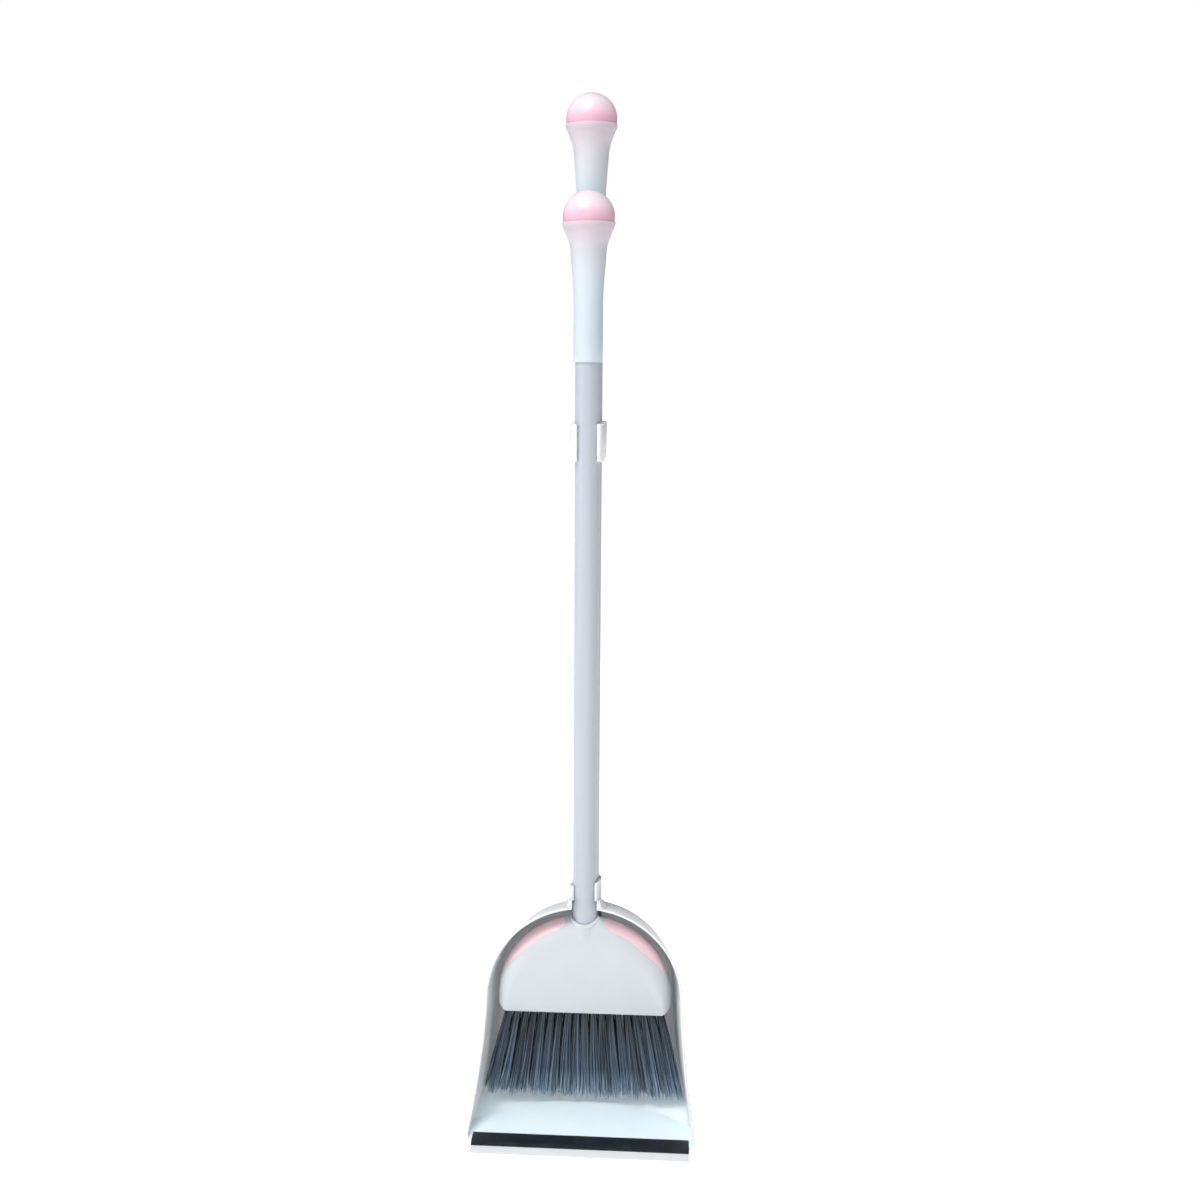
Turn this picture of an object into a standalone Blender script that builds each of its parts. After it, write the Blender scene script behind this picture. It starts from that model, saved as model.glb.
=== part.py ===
"""Dust pan and brush set: a hooded pan on a long pole, with a long-handled brush clipped in front of it.

The set stands on the pan's floor. +Z is up, -Y is the way the pan's mouth faces and the origin is the
middle of the set's footprint. Everything is in metres.
"""

import math

import bmesh
import bpy
from mathutils import Matrix

SET_NAME = "dust_pan_and_brush_set"

# Places of the two upright poles
BROOM_Y = 0.01635
POLE_SPACING = 0.048
PAN_POLE_Y = BROOM_Y + POLE_SPACING
POLE_R = 0.01175
POLE_WALL = 0.0009
GAP = 0.0003
BORE_R = POLE_R + GAP

# Pan shell
PAN_WALL = 0.0024
PAN_BACK_Y = 0.06635
RIM_TOP_Y = -0.00215
RIM_SWEEP = 0.0660
RIM_SWEEP_TOP_Z = 0.150
SWEEP_POWER = 1.7
RIM_HALF_WIDTH = 0.0958
RIM_ARCH_Z = 0.118
RIM_APEX_Z = 0.2115
RIM_FLARE = 0.0137
BACK_HALF_WIDTH = 0.0885
BACK_ARCH_Z = 0.112
BACK_APEX_Z = 0.1973
BACK_FLARE = 0.014
FLAT_FLOOR_SHARE = 0.96
MOUTH_Y = RIM_TOP_Y - RIM_SWEEP

# Ramp behind the lip
RAMP_FRONT_Y = -0.05495
RAMP_CREST_Y = 0.0140
RAMP_SIDE_Y = -0.0380
RAMP_FRONT_Z = 0.0044
RAMP_CREST_Z = 0.0062
RAMP_HALF_WIDTH = 0.1030

# Lip strips
LIP_HALF_LENGTH = 0.102
LIP_FRONT_Y = -0.08865
RUBBER_FRONT_Y = -0.07765

# Socket of the pan's pole and the notch for the brush's pole
SOCKET_R = 0.0145
SOCKET_BOTTOM_Z = 0.150
SOCKET_TOP_Z = 0.219
SOCKET_FLOOR_Z = 0.176
NOTCH_HALF_WIDTH = 0.0158
NOTCH_BOTTOM_Z = 0.1960
BRIDGE_HALF_WIDTH = 0.0070
NECK_TOP_Z = 0.2355
NECK_GRIP_Z = 0.2140
NECK_BOTTOM_Z = 0.2080
NECK_WALL = 0.0030
NECK_FRONT_Y = 0.00335

# Clip halfway up the poles
CLIP_BOTTOM_Z = 0.637
CLIP_TOP_Z = 0.672
CLIP_WALL = 0.0040
GRIP_OPENING = math.radians(42)

# Poles and handles
HANDLE_LENGTH = 0.154
SLEEVE_END_R = 0.0134
BALL_R = 0.02375
COLLAR_R = 0.0243
PAN_TOP_Z = 0.975
BROOM_TOP_Z = 0.882
BALL_DEPTH = 0.0280
POLE_END_BELOW_TOP = 0.0480
PLUG_NOSE_R = 0.0081
PLUG_NOSE = 0.0200
PLUG_BODY = 0.0240

# Brush head
HEAD_HALF_WIDTH = 0.084
HEAD_BOTTOM_Z = 0.1015
HEAD_SHOULDER_Z = 0.116
HEAD_APEX_Z = 0.1965
HEAD_DEPTH = 0.0350
HEAD_EDGE = 0.0110
HEAD_WALL = 0.0026
COLLAR_TOP_Z = 0.1925
HEAD_COLLAR_R = 0.0146
HEAD_SEAT_Z = 0.146
HEAD_BOSS_Z = 0.120
HEAD_CORNER = 0.0075
INSERT_SKIN = 0.0013
INSERT_WIDTH = 0.0105
INSERT_START = math.radians(18)
INSERT_END = math.radians(78)

# Bristles
BLOCK_HALF_WIDTH = 0.0808
BLOCK_DEPTH = 0.0288
BLOCK_CORNER = 0.0085
BLOCK_TOP_Z = 0.1120
TUFT_ROWS = 4
TUFTS_PER_ROW = 18
ROW_SPACING = 0.0066
ROW_DEPTH = 0.0058
ROOT_HALF_WIDTH = 0.0770
TIP_HALF_WIDTH = 0.0960
TIP_Z = 0.0125
TUFT_SPLIT_Z = 0.0700

# Screws
SCREW_R = 0.0016
SCREW_HEAD_R = 0.0030
SCREW_HEAD = 0.0018
SCREW_LENGTH = 0.0120
HEAD_SCREW_X = 0.0450

ROUND_STEPS = 32
ARC_STEPS = 14
BALL_STEPS = 8
MERGE = 0.00001
SHARP_ANGLE = math.radians(35)


def clear_scene():
    """Removes every object that is in the scene."""
    for item in list(bpy.data.objects):
        bpy.data.objects.remove(item, do_unlink=True)


def make_collection(name):
    """Returns a new collection linked to the scene."""
    collection = bpy.data.collections.new(name)
    bpy.context.scene.collection.children.link(collection)
    return collection


def make_material(name, colour, roughness, metallic=0.0):
    """Returns a Principled BSDF material of one colour."""
    material = bpy.data.materials.new(name)
    material.use_nodes = True
    shader = material.node_tree.nodes["Principled BSDF"]
    shader.inputs["Base Color"].default_value = (*colour, 1.0)
    shader.inputs["Roughness"].default_value = roughness
    shader.inputs["Metallic"].default_value = metallic
    return material


clear_scene()
PARTS = make_collection(SET_NAME)
CUTTERS = make_collection("cutters")

WHITE_PLASTIC = make_material("white_moulded_plastic", (0.80, 0.82, 0.84), 0.35)
PINK_PLASTIC = make_material("pink_clear_plastic", (0.85, 0.52, 0.60), 0.18)
SLEEVE_PLASTIC = make_material("white_sleeve_plastic", (0.78, 0.80, 0.84), 0.40)
PAINTED_STEEL = make_material("coated_steel_tube", (0.60, 0.62, 0.67), 0.35, 0.1)
BLACK_RUBBER = make_material("black_rubber", (0.010, 0.014, 0.020), 0.50)
WHITE_RUBBER = make_material("white_soft_lip", (0.82, 0.85, 0.87), 0.45)
GREY_BRISTLE = make_material("grey_blue_bristle", (0.09, 0.12, 0.16), 0.60)
NATURAL_PLASTIC = make_material("grey_hidden_plastic", (0.45, 0.46, 0.48), 0.50)
ZINC_STEEL = make_material("zinc_screw", (0.60, 0.60, 0.62), 0.30, 1.0)


def make_axis(name, location):
    """Returns an empty that marks where a group of parts is set, on its joint's axis."""
    axis = bpy.data.objects.new(name, None)
    axis.location = location
    axis.empty_display_size = 0.02
    PARTS.objects.link(axis)
    return axis


def add_object(name, data, material=None, parent=None):
    """Links a new object of some mesh or curve, with its material and parent."""
    item = bpy.data.objects.new(name, data)
    if material:
        item.data.materials.append(material)
        PARTS.objects.link(item)
    else:
        CUTTERS.objects.link(item)
        item.hide_render = True
        item.display_type = "WIRE"
    item.parent = parent
    return item


def smooth(item):
    """Shades a mesh smooth, apart from its sharp edges."""
    item.data.shade_smooth()
    item.data.set_sharp_from_angle(angle=SHARP_ANGLE)


def turned(name, profile, material=None, parent=None, steps=ROUND_STEPS):
    """Turns a profile about Z. It lists (radius, height), down the outer side from the top."""
    mesh = bpy.data.meshes.new(name)
    points = [(radius, 0.0, height) for radius, height in profile]
    on_axis = profile[0][0] == 0.0 and profile[-1][0] == 0.0
    last = len(points) - 1
    edges = [(i, i + 1) for i in range(last)]
    if not on_axis:
        edges.append((last, 0))
    mesh.from_pydata(points, edges, [])
    item = add_object(name, mesh, material, parent)
    screw = item.modifiers.new("turn", "SCREW")
    screw.steps = steps
    screw.render_steps = steps
    screw.use_merge_vertices = True
    screw.merge_threshold = MERGE
    screw.use_smooth_shade = True
    return item


def extruded(name, outlines, low, high, material=None, parent=None):
    """Extrudes flat outlines in XY from one height to another; inner outlines become holes."""
    curve = bpy.data.curves.new(name, "CURVE")
    curve.dimensions = "2D"
    curve.fill_mode = "BOTH"
    curve.extrude = (high - low) / 2
    for outline in outlines:
        spline = curve.splines.new("POLY")
        spline.points.add(len(outline) - 1)
        for point, (x, y) in zip(spline.points, outline):
            point.co = (x, y, 0.0, 1.0)
        spline.use_cyclic_u = True
    middle = Matrix.Translation((0.0, 0.0, (high + low) / 2))
    return curve_to_mesh(name, curve, middle, material, parent)


def upright(name, outline, depth, material=None, parent=None, rounding=0.0):
    """Extrudes an outline in XZ along Y by a depth, with its long edges rounded."""
    curve = bpy.data.curves.new(name, "CURVE")
    curve.dimensions = "2D"
    curve.fill_mode = "BOTH"
    curve.extrude = depth / 2 - rounding
    curve.bevel_depth = rounding
    curve.bevel_resolution = 2
    curve.offset = -rounding
    spline = curve.splines.new("POLY")
    spline.points.add(len(outline) - 1)
    for point, (x, z) in zip(spline.points, outline):
        point.co = (x, z, 0.0, 1.0)
    spline.use_cyclic_u = True
    turn = Matrix.Rotation(math.radians(90), 4, "X")
    return curve_to_mesh(name, curve, turn, material, parent)


def curve_to_mesh(name, curve, placement, material, parent):
    """Makes a closed mesh object from a curve and removes the curve."""
    guide = bpy.data.objects.new(name + "_guide", curve)
    CUTTERS.objects.link(guide)
    guide.matrix_world = placement
    bpy.context.view_layer.update()
    evaluated = guide.evaluated_get(bpy.context.evaluated_depsgraph_get())
    mesh = bpy.data.meshes.new_from_object(evaluated)
    mesh.transform(guide.matrix_world)
    bpy.data.objects.remove(guide, do_unlink=True)
    work = bmesh.new()
    work.from_mesh(mesh)
    bmesh.ops.remove_doubles(work, verts=work.verts, dist=MERGE)
    bmesh.ops.recalc_face_normals(work, faces=work.faces)
    work.to_mesh(mesh)
    work.free()
    mesh.name = name
    item = add_object(name, mesh, material, parent)
    smooth(item)
    return item


def box(name, low, high, parent=None):
    """Makes a box cutter from its lowest corner to its highest."""
    work = bmesh.new()
    bmesh.ops.create_cube(work, size=1.0)
    sides = [b - a for a, b in zip(low, high)]
    middle = [(a + b) / 2 for a, b in zip(low, high)]
    bmesh.ops.scale(work, vec=sides, verts=work.verts)
    bmesh.ops.translate(work, vec=middle, verts=work.verts)
    mesh = bpy.data.meshes.new(name)
    work.to_mesh(mesh)
    work.free()
    return add_object(name, mesh, None, parent)


def combine(item, other, operation):
    """Adds an exact Boolean of another object to an object."""
    boolean = item.modifiers.new(operation.lower(), "BOOLEAN")
    boolean.object = other
    boolean.operation = operation
    boolean.solver = "EXACT"
    return item


def rod(name, radius, low, high, parent=None, y=0.0):
    """Makes a plain upright cylinder that cuts or joins another piece."""
    item = turned(name, [(0.0, high), (radius, high), (radius, low), (0.0, low)], None, parent)
    item.location.y = y
    return item


def stepped_bore(name, high, floor, low, parent, y=0.0):
    """Makes the cutter of a pole's socket, with the narrower bore for its plug below the seat."""
    nose = PLUG_NOSE_R + GAP
    profile = [(0.0, high), (BORE_R, high), (BORE_R, floor), (nose, floor), (nose, low), (0.0, low)]
    bore = turned(name, profile, None, parent)
    bore.location.y = y
    return bore


def arc(centre_x, centre_y, radius, start, end, steps=ARC_STEPS):
    """Returns points on an arc, with its angles counted from +X."""
    points = []
    for step in range(steps + 1):
        angle = start + (end - start) * step / steps
        points.append((centre_x + radius * math.cos(angle), centre_y + radius * math.sin(angle)))
    return points


def arch_outline(half_width, arch_z, apex_z, flare, leg_steps=8, arch_steps=16):
    """Returns the (x, z) points of half a hood, from its foot at +X up to its apex at x = 0."""
    points = []
    for step in range(leg_steps):
        z = arch_z * step / leg_steps
        spread = flare * (1 - z / arch_z) ** SWEEP_POWER
        points.append((half_width + spread, z))
    for step in range(arch_steps + 1):
        angle = math.pi / 2 * step / arch_steps
        x = half_width * math.cos(angle)
        points.append((0.0 if step == arch_steps else x, arch_z + (apex_z - arch_z) * math.sin(angle)))
    return points


def rim_y(z):
    """Returns how far back the hood's rim stands at a height: it sweeps forward towards the lip."""
    drop = max(0.0, 1 - z / RIM_SWEEP_TOP_Z)
    return RIM_TOP_Y - RIM_SWEEP * drop**SWEEP_POWER


def make_pan_shell(parent):
    """Makes floor, walls, back, hood, ramp and pole socket as the one moulding they are."""
    rim = [(x, rim_y(z), z) for x, z in arch_outline(RIM_HALF_WIDTH, RIM_ARCH_Z, RIM_APEX_Z, RIM_FLARE)]
    back = [(x, PAN_BACK_Y, z) for x, z in arch_outline(BACK_HALF_WIDTH, BACK_ARCH_Z, BACK_APEX_Z, BACK_FLARE)]
    rows = 4
    work = bmesh.new()
    rings = []
    for row in range(rows + 1):
        share = row / rows
        ring = [[a + (b - a) * share for a, b in zip(p, q)] for p, q in zip(back, rim)]
        rings.append([work.verts.new(point) for point in ring])
    for near, far in zip(rings, rings[1:]):
        for i in range(len(near) - 1):
            work.faces.new((near[i], near[i + 1], far[i + 1], far[i]))
    floor_middle = [work.verts.new((0.0, ring[0].co.y, 0.0)) for ring in rings]
    floor_side = [work.verts.new((ring[0].co.x * FLAT_FLOOR_SHARE, ring[0].co.y, 0.0)) for ring in rings]
    foot = [ring[0] for ring in rings]
    for inner, outer in ((floor_middle, floor_side), (floor_side, foot)):
        for row in range(rows):
            work.faces.new((inner[row], outer[row], outer[row + 1], inner[row + 1]))
    back_middle = [floor_middle[0]]
    back_middle += [work.verts.new((0.0, PAN_BACK_Y, vert.co.z)) for vert in rings[0][1:-1]]
    back_middle.append(rings[0][-1])
    work.faces.new((floor_side[0], floor_middle[0], back_middle[1], rings[0][1], rings[0][0]))
    for i in range(1, len(back_middle) - 2):
        work.faces.new((back_middle[i], back_middle[i + 1], rings[0][i + 1], rings[0][i]))
    work.faces.new((back_middle[-2], back_middle[-1], rings[0][-2]))
    bmesh.ops.recalc_face_normals(work, faces=work.faces)
    mesh = bpy.data.meshes.new("pan_shell")
    work.to_mesh(mesh)
    work.free()
    shell = add_object("pan_shell", mesh, WHITE_PLASTIC, parent)
    mirror = shell.modifiers.new("other_half", "MIRROR")
    mirror.use_clip = True
    mirror.merge_threshold = MERGE
    wall = shell.modifiers.new("wall", "SOLIDIFY")
    wall.thickness = PAN_WALL
    wall.offset = -1.0
    wall.use_even_offset = True

    socket = rod("socket_outside", SOCKET_R, SOCKET_BOTTOM_Z, SOCKET_TOP_Z, parent, PAN_POLE_Y)
    combine(shell, socket, "UNION")
    combine(shell, make_ramp(parent), "UNION")
    notch = [(-NOTCH_HALF_WIDTH, BROOM_Y), (-NOTCH_HALF_WIDTH, MOUTH_Y), (NOTCH_HALF_WIDTH, MOUTH_Y)]
    notch += arc(0.0, BROOM_Y, NOTCH_HALF_WIDTH, 0.0, math.pi)[:-1]
    combine(shell, extruded("notch_cut", [notch], NOTCH_BOTTOM_Z, NECK_TOP_Z, None, parent), "DIFFERENCE")
    nose_low = SOCKET_FLOOR_Z - PLUG_NOSE - 2 * GAP
    bore = stepped_bore("socket_bore", SOCKET_TOP_Z + 0.01, SOCKET_FLOOR_Z, nose_low, parent, PAN_POLE_Y)
    return combine(shell, bore, "DIFFERENCE")


def make_ramp(parent):
    """Makes the low ramp whose bowed crest holds the sweepings back."""
    rise = RAMP_CREST_Y - RAMP_SIDE_Y
    radius = (RAMP_HALF_WIDTH**2 + rise**2) / (2 * rise)
    swing = math.asin(RAMP_HALF_WIDTH / radius)
    quarter = math.pi / 2
    crest = arc(0.0, RAMP_CREST_Y - radius, radius, quarter - swing, quarter + swing)
    outline = [(-RAMP_HALF_WIDTH, RAMP_FRONT_Y), (RAMP_HALF_WIDTH, RAMP_FRONT_Y), *crest]
    ramp = extruded("ramp_block", [outline], PAN_WALL / 2, RAMP_CREST_Z + 0.001, None, parent)
    slope = math.atan2(RAMP_CREST_Z - RAMP_FRONT_Z, RAMP_CREST_Y - RAMP_FRONT_Y)
    cutter = box("ramp_slope_cut", (-0.2, -0.1, 0.0), (0.2, 0.1, 0.03), parent)
    cutter.location = (0.0, RAMP_FRONT_Y, RAMP_FRONT_Z)
    cutter.rotation_euler = (slope, 0.0, 0.0)
    return combine(ramp, cutter, "DIFFERENCE")


def make_strip(name, section, material, parent):
    """Extrudes a (y, z) section along the lip."""
    work = bmesh.new()
    ends = []
    for x in (-LIP_HALF_LENGTH, LIP_HALF_LENGTH):
        ends.append([work.verts.new((x, y, z)) for y, z in section])
    work.faces.new(ends[0])
    work.faces.new(ends[1][::-1])
    count = len(section)
    for i in range(count):
        j = (i + 1) % count
        work.faces.new((ends[0][i], ends[1][i], ends[1][j], ends[0][j]))
    bmesh.ops.recalc_face_normals(work, faces=work.faces)
    mesh = bpy.data.meshes.new(name)
    work.to_mesh(mesh)
    work.free()
    return add_object(name, mesh, material, parent)


def make_lip(parent):
    """Makes the white lip that slides on the ground and the black rubber strip that lies on it."""
    on_floor = PAN_WALL + GAP
    lip_top = on_floor + 0.0007
    back = RAMP_FRONT_Y - GAP
    edge = [
        (back, on_floor),
        (MOUTH_Y - GAP, on_floor),
        (MOUTH_Y - GAP, 0.0002),
        (LIP_FRONT_Y, 0.0002),
        (LIP_FRONT_Y, 0.0010),
        (RUBBER_FRONT_Y, 0.0024),
        (MOUTH_Y - 0.0030, lip_top),
        (back, lip_top),
    ]
    rubber = [
        (back, lip_top + GAP),
        (MOUTH_Y - 0.0030, lip_top + GAP),
        (RUBBER_FRONT_Y, 0.0024 + GAP),
        (RUBBER_FRONT_Y, 0.0034),
        (MOUTH_Y, 0.0046),
        (back, 0.0047),
    ]
    make_strip("lip_edge", edge, WHITE_RUBBER, parent)
    make_strip("lip_rubber", rubber, BLACK_RUBBER, parent)


def grip_outline(wall, opening, bridge_end):
    """Returns a C round the brush's pole, open towards -Y, with a bridge running back from it."""
    outer = BORE_R + wall
    meet = math.asin(BRIDGE_HALF_WIDTH / outer)
    front = -math.pi / 2
    back = math.pi / 2
    points = arc(0.0, BROOM_Y, outer, front + opening, back - meet)
    points += bridge_end
    points += arc(0.0, BROOM_Y, outer, back + meet, front + 2 * math.pi - opening)
    points += arc(0.0, BROOM_Y, BORE_R, front + 2 * math.pi - opening, front + opening)
    return points


def make_neck_clip(parent):
    """Makes the collar that lines the hood's notch and grips the brush's pole just above it."""
    end_y = PAN_POLE_Y - SOCKET_R - GAP
    square_end = [(BRIDGE_HALF_WIDTH, end_y), (-BRIDGE_HALF_WIDTH, end_y)]
    grip = grip_outline(NECK_WALL, GRIP_OPENING, square_end)
    clip = extruded("neck_clip", [grip], NECK_GRIP_Z, NECK_TOP_Z, WHITE_PLASTIC, parent)
    outer = BORE_R + NECK_WALL
    bridge_top = SOCKET_TOP_Z - 2 * GAP
    bridge_y = BROOM_Y + outer
    above = [(-outer, bridge_y), (outer, bridge_y), (outer, PAN_POLE_Y), (-outer, PAN_POLE_Y)]
    combine(clip, extruded("above_bridge", [above], bridge_top, NECK_TOP_Z + 0.001, None, parent), "DIFFERENCE")
    lining = [(outer, NECK_FRONT_Y), *arc(0.0, BROOM_Y, outer, 0.0, math.pi), (-outer, NECK_FRONT_Y)]
    lining += [(-BORE_R, NECK_FRONT_Y), *arc(0.0, BROOM_Y, BORE_R, math.pi, 0.0), (BORE_R, NECK_FRONT_Y)]
    collar = extruded("neck_lining", [lining], NECK_BOTTOM_Z, NECK_GRIP_Z + 0.001, None, parent)
    return combine(clip, collar, "UNION")


def make_pole_clip(parent):
    """Makes the clip that rings the pan's pole and snaps round the brush's pole."""
    outer = BORE_R + CLIP_WALL
    meet = math.asin(BRIDGE_HALF_WIDTH / outer)
    start = -math.pi / 2 + meet
    ring = arc(0.0, PAN_POLE_Y, outer, start, start + 2 * (math.pi - meet), 2 * ARC_STEPS)
    outline = grip_outline(CLIP_WALL, GRIP_OPENING, ring)
    hole = arc(0.0, PAN_POLE_Y, BORE_R, 0.0, 2 * math.pi, ROUND_STEPS)[:-1]
    return extruded("pole_clip", [outline, hole], CLIP_BOTTOM_Z, CLIP_TOP_Z, WHITE_PLASTIC, parent)


def make_pole(name, low, high, parent):
    """Makes a thin steel tube, open at both ends."""
    inner = POLE_R - POLE_WALL
    profile = [(POLE_R, high), (POLE_R, low), (inner, low), (inner, high)]
    return turned(name, profile, PAINTED_STEEL, parent)


def make_plug(name, pole_low, parent):
    """Makes the plastic end that closes a pole's foot and screws into its socket."""
    body = POLE_R - POLE_WALL - GAP
    profile = [
        (0.0, pole_low + PLUG_BODY),
        (body, pole_low + PLUG_BODY),
        (body, pole_low),
        (PLUG_NOSE_R, pole_low - GAP),
        (PLUG_NOSE_R, pole_low - PLUG_NOSE),
        (0.0, pole_low - PLUG_NOSE),
    ]
    return turned(name, profile, NATURAL_PLASTIC, parent, ROUND_STEPS // 2)


def make_handle(prefix, top, parent):
    """Makes the flared sleeve on a pole's head and the clear ball that stops its mouth."""
    ball_centre = top - BALL_R
    collar = ball_centre - 0.0045
    low = top - HANDLE_LENGTH
    flare = [(0.0000, COLLAR_R), (0.0028, 0.0240), (0.0065, 0.0224), (0.0118, 0.0201), (0.0170, 0.0181)]
    flare += [(0.0230, 0.0168), (0.0350, 0.0157), (0.0540, 0.0142), (0.0800, 0.0132), (0.1000, 0.0134)]
    seat = top - POLE_END_BELOW_TOP + GAP
    spigot = BALL_R - 0.0095
    profile = [(radius, collar - drop) for drop, radius in flare]
    profile += [(SLEEVE_END_R, low), (BORE_R, low), (BORE_R, seat), (PLUG_NOSE_R, seat)]
    profile += [(PLUG_NOSE_R, top - BALL_DEPTH - 0.0120), (spigot, top - BALL_DEPTH - 0.0120)]
    profile += [(spigot, collar)]
    turned(prefix + "_handle_sleeve", profile, SLEEVE_PLASTIC, parent)

    joint = collar + GAP
    dome = math.asin((joint - ball_centre) / BALL_R)
    ball = arc(0.0, ball_centre, BALL_R, math.pi / 2, dome, BALL_STEPS)
    ball[0] = (0.0, top)
    tight = spigot - GAP
    ball += [(tight, joint), (tight, top - BALL_DEPTH - 0.0110), (0.0, top - BALL_DEPTH - 0.0110)]
    turned(prefix + "_handle_ball", ball, PINK_PLASTIC, parent)


def head_outline(inset=0.0, low=HEAD_BOTTOM_Z - HEAD_EDGE - 0.002):
    """Returns the brush head's D in (x, z), drawn in from its edge by an inset."""
    half = HEAD_HALF_WIDTH - inset
    rise = HEAD_APEX_Z - HEAD_SHOULDER_Z - inset
    points = []
    for step in range(2 * ARC_STEPS + 1):
        angle = math.pi * step / (2 * ARC_STEPS)
        points.append((half * math.cos(angle), HEAD_SHOULDER_Z + rise * math.sin(angle)))
    return [*points, (-half, low), (half, low)]


def head_form(name, inset, material=None, parent=None):
    """Makes the head's solid form, drawn in by an inset on every side but its foot."""
    depth = HEAD_DEPTH - 2 * inset
    return upright(name, head_outline(inset), depth, material, parent, HEAD_EDGE - inset)


def make_foot_cut(parent):
    """Makes the block that a head form is kept within, with the round lower corners of the cover."""
    side = HEAD_HALF_WIDTH + 0.0002
    centre_z = HEAD_BOTTOM_Z + HEAD_CORNER
    centre_x = side - HEAD_CORNER
    outline = [(side, 0.25), (-side, 0.25)]
    outline += arc(-centre_x, centre_z, HEAD_CORNER, math.pi, 1.5 * math.pi, 6)
    outline += arc(centre_x, centre_z, HEAD_CORNER, 1.5 * math.pi, 2 * math.pi, 6)
    return upright("head_foot_cut", outline, 2 * HEAD_DEPTH, None, parent)


def crescent(name, side, margin, parent):
    """Makes a block over one shoulder of the head, widest halfway along and thin at its ends."""
    start = INSERT_START - margin / HEAD_HALF_WIDTH
    end = INSERT_END + margin / HEAD_HALF_WIDTH
    outline = []
    for outward in (True, False):
        for step in range(ARC_STEPS + 1):
            share = step / ARC_STEPS if outward else 1 - step / ARC_STEPS
            angle = start + (end - start) * share
            swell = math.sin(math.pi * (0.08 + 0.84 * share)) ** 0.6
            inset = -0.004 if outward else INSERT_WIDTH * swell + margin
            x = (HEAD_HALF_WIDTH - inset) * math.cos(angle)
            z = HEAD_SHOULDER_Z + (HEAD_APEX_Z - HEAD_SHOULDER_Z - inset) * math.sin(angle)
            outline.append((side * x, z))
    return upright(name, outline, 2 * HEAD_DEPTH, None, parent)


def make_insert(name, side, parent):
    """Makes one of the pink skins let into the head's shoulders and returns the pocket it sits in."""
    insert = head_form(name, 0.0, PINK_PLASTIC, parent)
    skin = crescent(name + "_skin", side, 0.0, parent)
    combine(skin, head_form(name + "_inside", INSERT_SKIN, None, parent), "DIFFERENCE")
    combine(insert, skin, "INTERSECT")
    pocket = crescent(name + "_pocket", side, GAP, parent)
    return combine(pocket, head_form(name + "_seat", INSERT_SKIN + GAP, None, parent), "DIFFERENCE")


def make_head(parent):
    """Makes the hollow head cover with its pole socket, and the pink inserts in its shoulders."""
    cover = head_form("head_cover", 0.0, WHITE_PLASTIC, parent)
    foot = make_foot_cut(parent)
    combine(cover, foot, "INTERSECT")
    combine(cover, head_form("head_hollow", HEAD_WALL, None, parent), "DIFFERENCE")
    combine(cover, rod("head_boss", HEAD_COLLAR_R, HEAD_BOSS_Z, COLLAR_TOP_Z, parent), "UNION")
    bore = stepped_bore("head_bore", COLLAR_TOP_Z + 0.01, HEAD_SEAT_Z, HEAD_BOSS_Z - 0.001, parent)
    combine(cover, bore, "DIFFERENCE")
    for name, side in (("head_insert_right", 1), ("head_insert_left", -1)):
        combine(cover, make_insert(name, side, parent), "DIFFERENCE")
    for index, x in enumerate((-HEAD_SCREW_X, HEAD_SCREW_X)):
        hole = rod(f"head_screw_hole_{index + 1}", SCREW_R + GAP, -0.02, 0.02, parent)
        place_head_screw(hole, x)
        combine(cover, hole, "DIFFERENCE")


def place_head_screw(item, x):
    """Lays a screw, or its hole, through the cover's back into the bristle block."""
    item.location = (x, HEAD_DEPTH / 2 + GAP, BLOCK_TOP_Z - 0.0050)
    item.rotation_euler = (math.radians(-90), 0.0, 0.0)


def make_screw(name, parent):
    """Makes a small pan-head screw that stands on its point along -Z."""
    profile = [
        (0.0, SCREW_HEAD),
        (SCREW_HEAD_R * 0.7, SCREW_HEAD),
        (SCREW_HEAD_R, SCREW_HEAD / 2),
        (SCREW_HEAD_R, 0.0),
        (SCREW_R, 0.0),
        (SCREW_R, SCREW_R - SCREW_LENGTH),
        (0.0, -SCREW_LENGTH),
    ]
    return turned(name, profile, ZINC_STEEL, parent, 16)


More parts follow.
